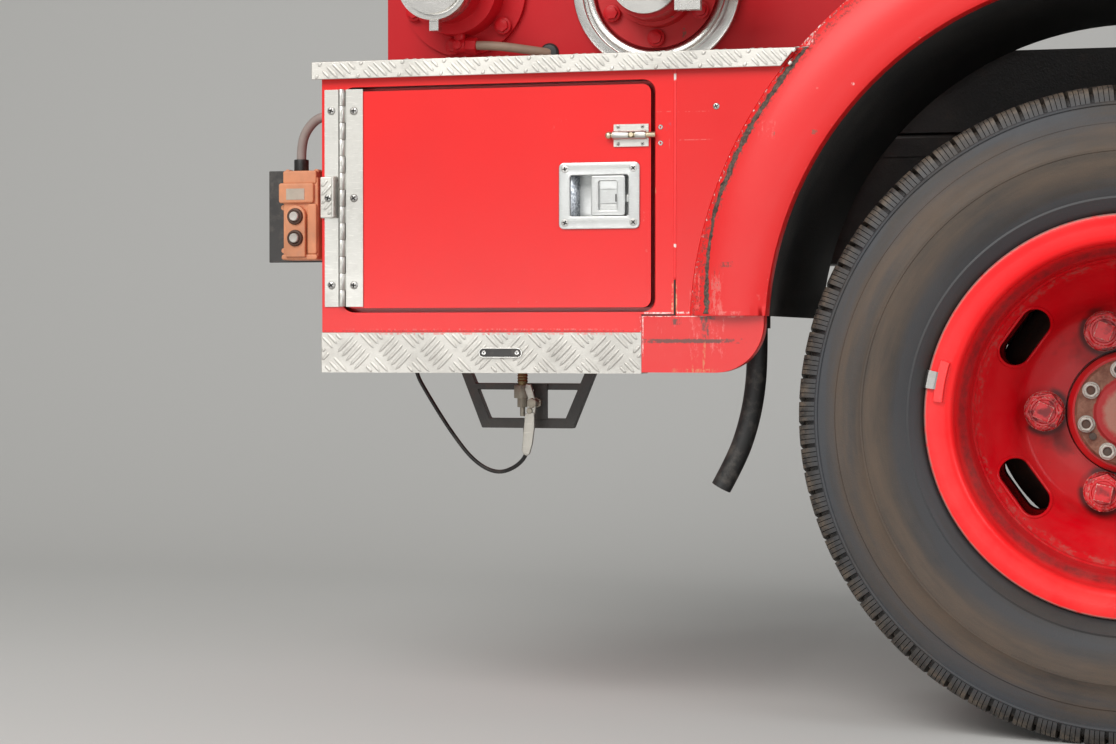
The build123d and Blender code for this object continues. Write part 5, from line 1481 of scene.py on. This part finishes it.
RIVET_X, RIVET_HEIGHTS = -0.5295, (703.5, 685.0)
rivet_spots = [(RIVET_X, FACE_Y, z_of(h), 0.0, 0.0, 0.0) for h in RIVET_HEIGHTS]
keeper_rivets = repeated("keeper_rivets", hollow_rivet("rivet"), rivet_spots, trim_metal)
dress(keeper_rivets, trim_metal, "root")
PLATE_X0, PLATE_X1, PLATE_Z, PLATE_Y = -0.748, -0.695, z_of(441.0), -0.583
PLATE_TALL, PLATE_RIM, EYE_IN = 0.012, 0.0012, 0.0062


def oval_outline(inset):
    """The plate's outline with round ends, drawn in by the rim's width where a rim is left."""
    half = PLATE_TALL / 2 - inset
    return round_rect(PLATE_X0 + inset, PLATE_X1 - inset, PLATE_Z - half, PLATE_Z + half, half - 0.0001, 8)


def oval_plate():
    """Small blank plate with round ends and a raised rim; its middle is a dark field."""
    y, back, z = PLATE_Y, PLATE_Y - 0.002, PLATE_Z
    outer, inner = oval_outline(0.0), oval_outline(PLATE_RIM)
    body = plate("name_plate", [outer], y - 0.0022, y, 0.0006)
    rim = plate("name_plate_rim", [outer, inner], y - 0.0030, back, 0.0003)
    field = plate("name_plate_field", [inner], y - 0.0025, back, 0.0001)
    eyes = (PLATE_X0 + EYE_IN, PLATE_X1 - EYE_IN)
    # The dark rods in the eyes are painted shade of their holes.
    hole_shades = [rod("hole", (x, y - 0.0033, z), (x, back, z), 0.0009, 16) for x in eyes]
    dress(joined("name_plate_field", [field] + hole_shades), dark_plate, "root")
    rings = [rod("eye", (x, y - 0.0031, z), (x, back, z), 0.0026, 20, 0.0002) for x in eyes]
    return joined("name_plate", [body, rim] + rings)


dress(oval_plate(), trim_metal, "root")


# Radius from the arch's centre and depth: the flare's outer edge, its crown and its inner lip
FLARE_SKIN = ((0.4950, -0.5800), (0.4434, -0.5960), (0.4060, -0.5896))
# The bead follows one radius and drifts inwards by this much from the first angle to its foot
BEAD_R, BEAD_DRIFT, DRIFT_FROM_DEG, DRIFT_SPAN_DEG = 0.4872, 0.0117, 160.0, 17.0
WAIST_DEG, WAIST_SPAN_DEG, WAIST_DEPTH = 167.0, 8.0, 0.40
# Five corners of a bead's section, as shares of its half width and height; its sides are rooted
BEAD_SECTION = ((-1.0, 0.0), (-0.75, 0.55), (-0.15, 1.0), (0.45, 0.75), (1.0, 0.0))
BEAD_ROOT = 0.0012
SEAM_SECTION = ((-1.0, -0.4), (-0.5, 0.8), (0.0, 1.0), (0.5, 0.8), (1.0, -0.4))


def flare_depth(radius):
    """Depth of the flare's skin at a distance from the arch's centre, through three known places."""
    total = 0.0
    for r, y in FLARE_SKIN:
        share = y
        for other in (o for o, _ in FLARE_SKIN if o != r):
            share *= (radius - other) / (r - other)
        total += share
    return total


def sealant_bead(name, start_deg, end_deg):
    """Old wide bead smeared on the flare's outer edge; it wanders inwards towards its foot."""
    bm = bmesh.new()
    rings = []
    steps = 220
    for i in range(steps + 1):
        t = math.radians(start_deg + (end_deg - start_deg) * i / steps)
        drop = min(1.0, max(0.0, (math.degrees(t) - DRIFT_FROM_DEG) / DRIFT_SPAN_DEG))
        radius = BEAD_R - BEAD_DRIFT * drop * drop * (3.0 - 2.0 * drop)
        wander = noise.noise((t * 22.0, 3.1, 0.0)) * 0.0014 + noise.noise((t * 95.0, 1.3, 0.0)) * 0.0008
        swell = 0.7 + 0.7 * max(0.0, noise.noise((t * 60.0, 7.7, 0.0)) + 0.35)
        taper = min(1.0, 8.0 * i / steps + 0.3)
        from_waist = (math.degrees(t) - WAIST_DEG) / WAIST_SPAN_DEG
        waist = 1.0 - WAIST_DEPTH * max(0.0, 1.0 - from_waist ** 2)
        half = (0.0020 + 0.0026 * swell) * taper * waist
        high = 0.0013 * swell * taper
        left, right = (1.0 + 0.5 * noise.noise((t * 150.0, side, 0.0)) for side in (4.4, 9.9))
        ring = []
        for across, proud in BEAD_SECTION:
            r = radius + wander + across * half * (left if across > 0 else right)
            depth = flare_depth(r) - (proud * high if proud else -BEAD_ROOT)
            ring.append(bm.verts.new((r * math.cos(t), depth, ARCH_Z + r * math.sin(t))))
        rings.append(ring)
    skin(bm, rings)
    return from_bmesh(name, bm)


dress(sealant_bead("arch_sealant", 136.5, 176.8), sealant, "root")
SEAM_X = -0.5124


def seam_bead(name, low, high):
    """Filled seam between the locker and the side panel: a low ridge that has kept its paint, whose red is
    made lighter than the panels' as painted highlight on the ridge.
    """
    bm = bmesh.new()
    rings = []
    steps = 60
    for i in range(steps + 1):
        z = z_of(low + (high - low) * i / steps)
        half = 0.0019 + 0.0004 * noise.noise((z * 40.0, 5.5, 0.0))
        lift = 0.0007 + 0.0002 * noise.noise((z * 60.0, 2.5, 0.0))
        ring = []
        for across, proud in SEAM_SECTION:
            ring.append(bm.verts.new((SEAM_X + across * half, FACE_Y - proud * lift, z)))
        rings.append(ring)
    skin(bm, rings)
    return from_bmesh(name, bm)


def patch_joint():
    """Dark filler that shows in the joint along the corner panel's top and left edges."""
    front, back = FACE_Y - 0.0006, FACE_Y + 0.002
    left, top, low = -0.5522, z_of(486.2), z_of(459.0)
    along = bar("joint_top", (left, front, z_of(484.6)), (-0.5135, back, top), 0.0003)
    down = bar("joint_side", (left, front, low), (left + 0.0014, back, top), 0.0003)
    crack = bar("seam_crack", (-0.5138, FACE_Y - 0.0002, z_of(485.0)), (-0.5118, back, z_of(526.5)), 0.0003)
    return joined("patch_joint", [along, down, crack])


dress(seam_bead("seam_filler", 526.0, 788.0), seam_red_lit, "root")
dress(patch_joint(), liner_black, "root")
print("marks ready")

# %% [markdown]
# ## The flush latch
# The latch is a bright bezel with a sunk tub. A slanted wall of galvanised sheet leads the fingers
# in behind the paddle, which is a raised frame round a hollow folded from three strips. The bezel
# and the paddle's frame are pressed plates, because their rims need an even round edge.

# %% Latch
LATCH_X, LATCH_Z = -0.6025, z_of(625.0)
TUB_X0, TUB_X1 = LATCH_X - 0.035, LATCH_X + 0.035
TUB_Z0, TUB_Z1 = LATCH_Z - 0.024, LATCH_Z + 0.024
TUB_FLOOR_Y, TUB_WALL = FACE_Y + 0.024, 0.002
PADDLE_X1 = TUB_X1 - 0.004
PADDLE_X0 = PADDLE_X1 - 0.041
FOLD_GAP = 0.0003


def slanted(name, low, high, thickness, sideways=False):
    """Flat strip between two corners; its depth changes as it rises, or as it runs sideways."""
    (x0, y0, z0), (x1, y1, z1) = low, high
    right_low_y, left_high_y = (y1, y0) if sideways else (y0, y1)
    front = ((x0, y0, z0), (x1, right_low_y, z0), (x1, y1, z1), (x0, left_high_y, z1))
    bm = bmesh.new()
    skin(bm, [[bm.verts.new((x, y + depth, z)) for x, y, z in front] for depth in (0.0, thickness)])
    return with_auto_smooth(from_bmesh(name, bm), 5.0)


def latch_bezel():
    half_w, half_t = 0.0485, 0.039
    outer = round_rect(LATCH_X - half_w, LATCH_X + half_w, LATCH_Z - half_t, LATCH_Z + half_t, 0.006)
    hole = round_rect(TUB_X0, TUB_X1, TUB_Z0, TUB_Z1, 0.003)
    left, right, low, high = TUB_X0 - TUB_WALL, TUB_X1 + TUB_WALL, TUB_Z0 - TUB_WALL, TUB_Z1 + TUB_WALL
    walls = (
        ((left, FACE_Y, low), (TUB_X0, TUB_FLOOR_Y, high)),
        ((TUB_X1, FACE_Y, low), (right, TUB_FLOOR_Y, high)),
        ((TUB_X0, FACE_Y, low), (TUB_X1, TUB_FLOOR_Y, TUB_Z0)),
        ((TUB_X0, FACE_Y, TUB_Z1), (TUB_X1, TUB_FLOOR_Y, high)),
        ((left, TUB_FLOOR_Y, low), (right, TUB_FLOOR_Y + TUB_WALL, high)),
    )
    parts = [plate("bezel", [outer, hole], BEZEL_Y, FACE_Y, 0.0009)]
    parts += [bar("tub_wall", near, far, 0.0003) for near, far in walls]
    return joined("latch_bezel", parts)


def latch_paddle():
    """Raised frame, a hollow folded from three strips, and the pivot's knuckle and pin."""
    middle = (PADDLE_X0 + PADDLE_X1) / 2 - 0.0005
    front = FACE_Y - 0.001
    frame_outer = round_rect(PADDLE_X0, PADDLE_X1, LATCH_Z - 0.0235, LATCH_Z + 0.0235, 0.003)
    hollow = round_rect(middle - 0.011, middle + 0.011, LATCH_Z - 0.0172, LATCH_Z + 0.0172, 0.002)
    raised = plate("paddle_frame", [frame_outer, hollow], front, front + 0.005, 0.0009)
    x0, x1 = middle - 0.0125, middle + 0.0125
    top, upper, lower, low = LATCH_Z + 0.0185, LATCH_Z + 0.0077, LATCH_Z - 0.0092, LATCH_Z - 0.0185
    # name, depths behind the frame's front at the strip's lower and upper edge, and those edges
    folds = (
        ("hollow_top", 0.0050, 0.0040, upper + FOLD_GAP, top),
        ("hollow_middle", 0.0046, 0.0046, lower + FOLD_GAP, upper - FOLD_GAP),
        ("hollow_low", 0.0044, 0.0050, low, lower - FOLD_GAP),
    )
    strips = [
        slanted(name, (x0, front + low_in, z0), (x1, front + high_in, z1), 0.0008)
        for name, low_in, high_in, z0, z1 in folds
    ]
    knuckle_far = (TUB_X1, FACE_Y + 0.009, LATCH_Z + 0.0010)
    knuckle = bar("paddle_knuckle", (PADDLE_X1 - 0.001, FACE_Y + 0.004, LATCH_Z - 0.0075), knuckle_far)
    pin_x, pin_y = PADDLE_X1 - 0.004, FACE_Y + 0.005
    pin = rod("paddle_pin", (pin_x, pin_y, TUB_Z0), (pin_x, pin_y, TUB_Z1), 0.003)
    return joined("latch_paddle_frame", [raised, knuckle, pin] + strips)


dress(latch_bezel(), cast_metal, "locker_door", ("latch_body",))
dress(latch_paddle(), cast_metal, "locker_door", ("latch_paddle",))
slot_x = (PADDLE_X0 + PADDLE_X1) / 2 + 0.0085
wall_near, wall_far = (TUB_X0 + 0.0002, FACE_Y + 0.001, TUB_Z0), (TUB_X0 + 0.0056, FACE_Y + 0.0235, TUB_Z1)
wall = slanted("wall", wall_near, wall_far, 0.0010, sideways=True)
dress(wall, spangle_metal, "locker_door")
# Dark bars in the gap beside the paddle and in the paddle's slot are painted shade of these openings.
gap_near = (PADDLE_X1 + 0.0004, FACE_Y + 0.0085, LATCH_Z - 0.0085)
gap_far = (TUB_X1 - 0.0004, FACE_Y + 0.0100, LATCH_Z + 0.0015)
dress(bar("paddle_gap", gap_near, gap_far), dark_plate, "locker_door")
slot_low = (slot_x - 0.0008, FACE_Y + 0.0033, LATCH_Z - 0.0072)
slot_shade_bar = bar("paddle_slot", slot_low, (slot_x + 0.0008, FACE_Y + 0.0040, LATCH_Z + 0.0018), 0.0001)
dress(slot_shade_bar, dark_plate, "locker_door")

# %% [markdown]
# ## The push-button box
# An orange box hangs from its lead in front of a dark plate. Its case is a stack of moulded slabs
# with round corners: a slim body, a wider head with a blank label, a collar and a foot. Each button
# is a pale cap inside a brown rubber boot.

# %% Push-button box
BOX_X0, BOX_X1 = -1.035, -0.984
BOX_BACK_Y, BOX_FACE_Y, LUG_Y0, LUG_Y1 = -0.460, -0.500, -0.486, -0.470
BUTTON_X, NECK_X, NECK_Y, LABEL_Y = -1.0115, -1.0105, -0.480, -0.4970
BUTTON_HEIGHTS = (610.0, 583.0)
boot_rubber = moulded("brown_button_boot", (0.085, 0.040, 0.026, 1.0), 0.6, 0.25)
CASE_SLABS = (
    # name, from the left edge, from the right edge, low and high over the floor, front depth, corner
    ("body", 4.7, 0.0, 558.0, 660.0, 8.0, 4.0),
    ("head", 0.0, 4.6, 627.0, 652.0, 3.6, 3.0),
    ("collar", 4.7, 2.0, 651.0, 667.5, 6.5, 2.5),
    ("foot", 3.4, 0.0, 556.0, 563.0, 4.0, 3.0),
    ("side_rib", 37.5, 1.0, 563.0, 626.0, 4.5, 3.0),
)


def case_slab(label, left, right, low, high, step, corner):
    outline = round_rect(BOX_X0 + left * MM, BOX_X1 - right * MM, z_of(low), z_of(high), corner * MM)
    return plate("case_" + label, [outline], BOX_FACE_Y + step * MM, BOX_BACK_Y - 0.001, 0.0018)


def button_panel():
    """Raised tongue round the buttons, with an arched top."""
    x0, x1, low, high = BOX_X0 + 0.0105, BOX_X0 + 0.0365, z_of(559.5), z_of(624.0)
    half = (x1 - x0) / 2
    outline = [(x0, low), (x1, low)] + arc_points(x0 + half, high - half, half, 0, 180, 14)
    return plate("button_panel", [outline], BOX_FACE_Y, BOX_FACE_Y + 0.012, 0.0014)


def case_lugs():
    spots = (
        (BOX_X0 + 0.0025, 622.0), (BOX_X0 + 0.0030, 568.0), (BOX_X0 + 0.008, 666.5), (BOX_X1 - 0.005, 666.5),
    )
    return [rod("case_lug", (x, LUG_Y0, z_of(h)), (x, LUG_Y1, z_of(h)), 0.0034, 16, 0.0006) for x, h in spots]


case_parts = [case_slab(*slab) for slab in CASE_SLABS] + [button_panel()] + case_lugs()
dress(joined("pendant_case", case_parts), orange_plastic, "root", ("pendant_body",))
neck = rod("pendant_neck", (NECK_X, NECK_Y, z_of(666.0)), (NECK_X, NECK_Y, z_of(682.0)), 0.0092, 28, 0.0010)
dress(neck, cable_rubber, "root")
label_outline = round_rect(BOX_X0 + 0.0103, BOX_X0 + 0.0345, z_of(631.0), z_of(645.0), 0.0004, 2)
label = plate("pendant_label", [label_outline], LABEL_Y, LABEL_Y + 0.0008, 0.0002)
dress(label, label_plastic, "root")


# Depth out of the box's face and radius: the boot's rolled ring, and the cap with its hollow top
BOOT_PROFILE = (
    (0.002, 0.0062), (-0.0022, 0.0062), (-0.0030, 0.0070), (-0.0036, 0.0082), (-0.0030, 0.0095),
    (-0.0012, 0.0104), (0.002, 0.0106),
)
CAP_PROFILE = (
    (0.002, 0.0), (0.002, 0.0058), (-0.0058, 0.0058), (-0.0068, 0.0050), (-0.0066, 0.0038),
    (-0.0060, 0.0022), (-0.0058, 0.0),
)


def button_rounds(name, profile):
    """The same turned shape at both buttons."""
    outline = [(BOX_FACE_Y + y, r) for y, r in profile]
    return joined(name, [turned("button_round", outline, (BUTTON_X, z_of(h)), 40) for h in BUTTON_HEIGHTS])


boots = button_rounds("button_boots", BOOT_PROFILE)
caps = button_rounds("button_caps", CAP_PROFILE)
dress(boots, boot_rubber, "root")
dress(caps, button_plastic, "root", ("pendant_buttons",))
print("push-button box ready")

# %% [markdown]
# ## Drain gear
# Under the sill hangs a drain: a threaded brass nipple, a galvanised union nut with a small plug,
# and a flat lever on its own pivot, carried by a tab on the guard. The lever is galvanised too,
# and its pivot has rusted. Threads are stacked rings, since a helix would not show at this size.

# %% Drain cock and lever
COCK_X, COCK_Y = -0.721, -0.487
rusty_zinc = worked_metal("rusty_zinc", (0.46, 0.42, 0.35, 1.0), 0.55, 0.75, 130.0, 0.7)


def threaded_nipple():
    low, high, turns = z_of(400.0), z_of(463.0), 14
    profile = [(low, 0.0), (low, 0.0058)]
    for i in range(turns):
        z = low + 0.004 + i * 0.0034
        profile += [(z, 0.0058), (z + 0.0017, 0.0066), (z + 0.0034, 0.0058)]
    profile += [(high - 0.004, 0.0072), (high, 0.0105), (high, 0.0)]
    upright = turned("drain_nipple", profile, AT_ORIGIN, 32)
    upright.data.transform(standing(COCK_X, COCK_Y, 0.0))
    return upright


def upright_prism(name, corners, radius, low, high, width):
    """A hexagon or a round bar on the cock's own upright line, between two heights."""
    bm = bmesh.new()
    made = bmesh.ops.create_cone(
        bm, cap_ends=True, segments=corners, radius1=radius, radius2=radius, depth=(high - low) * MM
    )["verts"]
    bmesh.ops.translate(bm, vec=(COCK_X, COCK_Y, z_of((low + high) / 2)), verts=made)
    return softened(name, bm, width)


# name, sides, radius, low and high over the floor, softened edge
UNION_STACK = (
    ("union_hex", 6, 0.0110, 385.0, 401.0, 0.0010),
    ("plug_hex", 6, 0.0068, 374.0, 385.5, 0.0007),
    ("plug_tip", 16, 0.0032, 363.0, 374.5, 0.0006),
)
# name, front depth, back depth, radius, sides, softened edge
PIVOT_STACK = (
    ("pivot_bolt", -0.5065, -0.4740, 0.0030, 18, 0.0004),
    ("pivot_head", -0.5078, -0.5030, 0.0062, 6, 0.0006),
    ("pivot_spacer", -0.4990, -0.4850, 0.0044, 20, 0.0005),
    ("pivot_nut", -0.4850, -0.4790, 0.0066, 6, 0.0006),
)
STRAP_RIVET = ("strap_rivet", -0.5058, -0.5000, 0.0036, 14, 0.0012)
LEVER_Y0, LEVER_Y1 = -0.5035, -0.4995
PIVOT_X, PIVOT_Z = -0.7044, z_of(379.5)
LEVER_BLADE = ((-713.6, 366), (-716.0, 340), (-717.6, 322), (-715.5, 317), (-711.5, 315.2), (-708.0, 317.5),
               (-704.4, 330), (-701.8, 350), (-702.0, 367.5), (-707.0, 369))
LEVER_STRAP = ((-710.8, 364), (-701.5, 366), (-700.0, 379), (-703.0, 390), (-706.5, 402), (-713.0, 403),
               (-714.0, 396), (-710.5, 386), (-711.5, 376))


def lever_plate(name, outline, y_out, y_in):
    return plate(name, [[(x * MM, z_of(h)) for x, h in outline]], y_out, y_in, 0.0008)


def drain_lever():
    """Blade with a worn round end, riveted to a bent strap that reaches up to the pivot."""
    blade = lever_plate("lever_blade", LEVER_BLADE, LEVER_Y0 - 0.0005, LEVER_Y1)
    strap = lever_plate("lever_strap", LEVER_STRAP, LEVER_Y0 + 0.001, LEVER_Y1 + 0.001)
    return joined("drain_lever_blade", [blade, strap])


def lever_pivot():
    """The lever's pivot bolt with its head, nut and spacer, through the tab on the guard."""
    parts = []
    rows = [(row, PIVOT_X, PIVOT_Z) for row in PIVOT_STACK] + [(STRAP_RIVET, PIVOT_X - 0.0035, z_of(370.0))]
    for (name, front, back, radius, sides, edge), x, z in rows:
        parts.append(rod(name, (x, front, z), (x, back, z), radius, sides, edge))
    return joined("lever_pivot", parts)


dress(threaded_nipple(), brass_metal, "root")
drain_union = joined("drain_union", [upright_prism(*row) for row in UNION_STACK])
dress(drain_union, rusty_zinc, "root", ("drain_cock",))
dress(lever_pivot(), rusty_zinc, "root")
dress(drain_lever(), zinc_metal, "root", ("drain_lever",))
tab = bar("lever_tab", (-0.7096, -0.479, z_of(359.0)), (-0.6918, -0.4757, z_of(403.0)), 0.0006)
dress(tab, chassis_black, "root")
print("drain gear ready")

# %% [markdown]
# ## Ports in the bay
# The suction port's ring is bright trim with a dark groove near its inner edge. The flanges inside
# it and at the left are painted with the bay, and their bolts are hexagons under the paint. A
# small red elbow and a beige pipe drain the left port into a grommet in the wall.

# %% Ports
BAY_WALL_Y = -0.331
PORT_FLANGE_Y = BAY_WALL_Y - 0.014
RING_X, RING_Z = -0.585, z_of(904.0)
CAP_X, CAP_Z = -0.852, z_of(905.0)
RING_PROFILE = (
    (0.0, 109.0), (-12.0, 109.0), (-13.6, 107.8), (-14.0, 106.0), (-14.0, 96.6), (-13.0, 95.4), (-8.5, 95.0),
    (-8.5, 91.4), (-12.8, 91.0), (-13.8, 89.6), (-13.8, 84.6), (-12.6, 82.4), (-9.0, 81.0), (0.0, 80.0),
)
# From the elbow, sagging a little, to the grommet in the bay's wall
PIPE_ROUTE = (
    (-816, -362, 833.5), (-795, -361, 833.0), (-768, -356, 830.0), (-745, -345, 826.5), (-728, -332, 825.0),
)
GROMMET_CENTRE = (-0.7275, z_of(825.0))
pipe_beige = moulded("aged_pipe", (0.30, 0.205, 0.150, 1.0), 0.5, 0.2)


def suction_trim():
    profile = [(BAY_WALL_Y + y * MM, r * MM) for y, r in RING_PROFILE]
    return turned("suction_trim_ring", profile, (RING_X, RING_Z), 160)


def port_bolt(name):
    """Hexagon head with a washer face, softened by many coats of paint."""
    bm = bmesh.new()
    prism(bm, 6, 0.0088, -0.0065, 0.0)
    head = softened("port_hex", bm, 0.0013)
    washer = turned("port_washer", [
        (0.0005, 0.0), (0.0005, 0.0112), (-0.0012, 0.0110), (-0.0018, 0.0100), (-0.0018, 0.0),
    ], AT_ORIGIN, 32)
    return joined(name, [head, washer])


def drain_elbow():
    """Square-shouldered elbow with its union nut, and the stub that goes up to the port."""
    x, y, z = -0.838, -0.362, z_of(834.0)
    return joined("port_drain_elbow", [
        rod("elbow_body", (x - 0.008, y, z), (x + 0.008, y, z), 0.0095, 20, 0.0014),
        rod("elbow_stub", (x - 0.001, y, z), (x - 0.001, y, z + 0.020), 0.0075, 20, 0.0010),
        rod("elbow_nut", (x + 0.008, y, z), (x + 0.022, y, z - 0.001), 0.0105, 6, 0.0010),
        rod("elbow_plug", (x - 0.001, y - 0.013, z), (x - 0.001, y, z), 0.0062, 6, 0.0008),
    ])


dress(suction_trim(), trim_metal, "root", ("suction_ring",))
# name, bolt circle's radius, first angle, centre, seed
BOLT_CIRCLES = (
    ("suction_bolts", 0.066, 30.0, (RING_X, RING_Z), 11),
    ("delivery_bolts", 0.070, 20.0, (CAP_X + 0.012, CAP_Z), 12),
)
for name, radius, first_deg, centre, seed in BOLT_CIRCLES:
    spots = ring_spots(6, radius, PORT_FLANGE_Y, first_deg, centre)
    dress(repeated(name, port_bolt("port_bolt"), spots, bay_red_shaded, 0.5, seed), bay_red_shaded, "root")
dress(drain_elbow(), bay_red_shaded, "root")
pipe_run = baked(spline_curve("port_drain_pipe", PIPE_ROUTE, 0.0058, order=4, resolution=8))
dress(pipe_run, pipe_beige, "root")
grommet_outline = (
    (-0.0002, 0.0), (-0.0002, 0.0125), (-0.0025, 0.0122), (-0.0045, 0.0100), (-0.0050, 0.0060),
    (-0.0050, 0.0),
)
grommet = turned("pipe_grommet", [(BAY_WALL_Y + y, r) for y, r in grommet_outline], GROMMET_CENTRE, 40)
dress(grommet, cable_rubber, "root")
print("ports ready")

# %% [markdown]
# ## Finishes for the carried frame nodes
# Pieces that are plain in real life stay as the frame has them, such as the rail, the floor and
# the axle. They only take a finish and slightly rounded corners, so that their form is exact.

# %% Finish the plain nodes
PLAIN_FINISHES = {
    "chassis_black": (chassis_black, (
        "chassis_rail", "subframe", "body_crossmembers", "outriggers", "spring_hanger", "rear_shackle",
        "axle_tube", "hose_spout", "drain_bracket", "cable_fittings",
    )),
    "spring_black": (spring_black, ("leaf_spring", "spring_seat", "spring_u_bolts")),
    "drum_iron": (drum_iron, ("backing_plate", "brake_drum")),
    "hub": (wheel_enamel, ("hub",)),
    "red": (red_paint, ("locker_box", "quarter_panel", "door_stop", "sill_beam")),
    "door": (door_red, ("door",)),
    "face": (face_red, ("locker_face",)),
    "side": (side_red_shaded, ("side_panel",)),
    "flare": (flare_red, ("arch_flare",)),
    "patch": (patch_red, ("corner_panel",)),
    "bay": (bay_red_shaded, ("bay_wall", "delivery_port", "body_floor")),
    "worn": (worn_red, ("suction_port",)),
    "liner": (liner_black, ("arch_liner",)),
    "tread": (tread_metal, ("shelf_plate", "door_stop_clip")),
    "sill": (sill_metal, ("sill_plate",)),
    "satin": (satin_metal, ("hinge_fixed_leaf", "hinge_door_leaf", "hinge_pin", "bolt_base")),
    "brassy": (bolt_metal, ("bolt_rod",)),
    "trim": (trim_metal, ("suction_cap", "delivery_cap")),
    "plate": (dark_plate, ("pendant_plate",)),
    "gland": (cable_rubber, ("lead_gland",)),
}
EDGE_ROUND = {"tread": 0.0012, "sill": 0.0008, "satin": 0.0004, "trim": 0.0012}
USUAL_ROUND = 0.0010


def soften_node(node, width):
    """Round a plain node's corners a little, with its own mesh left as it is."""
    weld = node.modifiers.new("weld", "WELD")
    weld.merge_threshold = 1e-5
    bevel = node.modifiers.new("bevel", "BEVEL")
    bevel.width = width
    bevel.segments = 2
    bevel.limit_method = "ANGLE"
    bevel.angle_limit = math.radians(40)
    bevel.harden_normals = True


for group, (material, names) in PLAIN_FINISHES.items():
    for name in names:
        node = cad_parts[name]
        node.data.materials.clear()
        node.data.materials.append(material)
        soften_node(node, EDGE_ROUND.get(group, USUAL_ROUND))
print("plain nodes finished")

# %% [markdown]
# ## Floor, backdrop and light
# The set is a plain pale studio. The floor lies under the tyres and bends up into the backdrop.
# The sheet is solid from its upper side only, so the backdrop doesn't hide the part from a camera
# that stands behind or below it. A large soft light stands high at the front left, with a weaker
# one on the right and a low one for the dark underside.

# %% Studio


def sweep_floor(width=9.0, front=-9.0, wall_y=2.6, bend=1.6, top=5.0):
    """Floor that curves up into a backdrop, as one sheet."""
    run = [(front, FLOOR_Z), (wall_y - bend, FLOOR_Z)]
    for i in range(1, 17):
        t = math.radians(90 * i / 16)
        run.append((wall_y - bend + bend * math.sin(t), FLOOR_Z + bend - bend * math.cos(t)))
    run.append((wall_y, FLOOR_Z + top))
    points = [(x, y, z) for y, z in run for x in (-width, width)]
    faces = [(i, i + 1, i + 3, i + 2) for i in range(0, len(points) - 2, 2)]
    mesh = bpy.data.meshes.new("studio_floor")
    mesh.from_pydata(points, [], faces)
    return linked("studio_floor", mesh)


floor_material = bpy.data.materials.new("studio_grey")
floor_material.use_nodes = True
floor_net = Net(floor_material.node_tree)
floor_shader = floor_net.tree.nodes["Principled BSDF"]
floor_net.feed((0.58, 0.58, 0.57, 1.0), floor_shader.inputs["Base Color"])
floor_net.feed(0.9, floor_shader.inputs["Roughness"])
from_behind = floor_net.add("ShaderNodeNewGeometry").outputs["Backfacing"]
see_through = floor_net.add("ShaderNodeBsdfTransparent").outputs["BSDF"]
sides = {"Fac": from_behind, 1: floor_shader.outputs["BSDF"], 2: see_through}
one_sided = floor_net.add("ShaderNodeMixShader", sides).outputs["Shader"]
floor_net.feed(one_sided, floor_net.tree.nodes["Material Output"].inputs["Surface"])
studio = sweep_floor()
studio.data.materials.append(floor_material)
for face in studio.data.polygons:
    face.use_smooth = True


def soft_light(name, spot, target, size, power, tint=(1.0, 1.0, 1.0)):
    data = bpy.data.lights.new(name, "AREA")
    data.shape = "RECTANGLE"
    data.size, data.size_y = size
    data.energy = power
    data.color = tint
    made = linked(name, data)
    made.location = spot
    made.rotation_euler = (Vector(target) - Vector(spot)).to_track_quat("-Z", "Y").to_euler()


soft_light("sky", (-1.6, -4.0, 2.7), (-0.3, -0.5, -0.1), (3.4, 2.6), 172.0, (1.0, 0.98, 0.95))
soft_light("side_fill", (3.4, -3.0, 1.4), (-0.2, -0.5, -0.1), (2.0, 2.0), 50.0, (0.94, 0.97, 1.0))
soft_light("low_fill", (-1.0, -3.6, -0.35), (-0.4, -0.5, -0.2), (3.0, 0.5), 16.0)
world = bpy.data.worlds.new("studio_world")
world.use_nodes = True
backdrop = world.node_tree.nodes["Background"]
backdrop.inputs["Color"].default_value = (0.92, 0.92, 0.90, 1.0)
backdrop.inputs["Strength"].default_value = 0.36
scene.world = world
scene.view_settings.view_transform = "Standard"
scene.view_settings.look = "None"
print("studio ready")
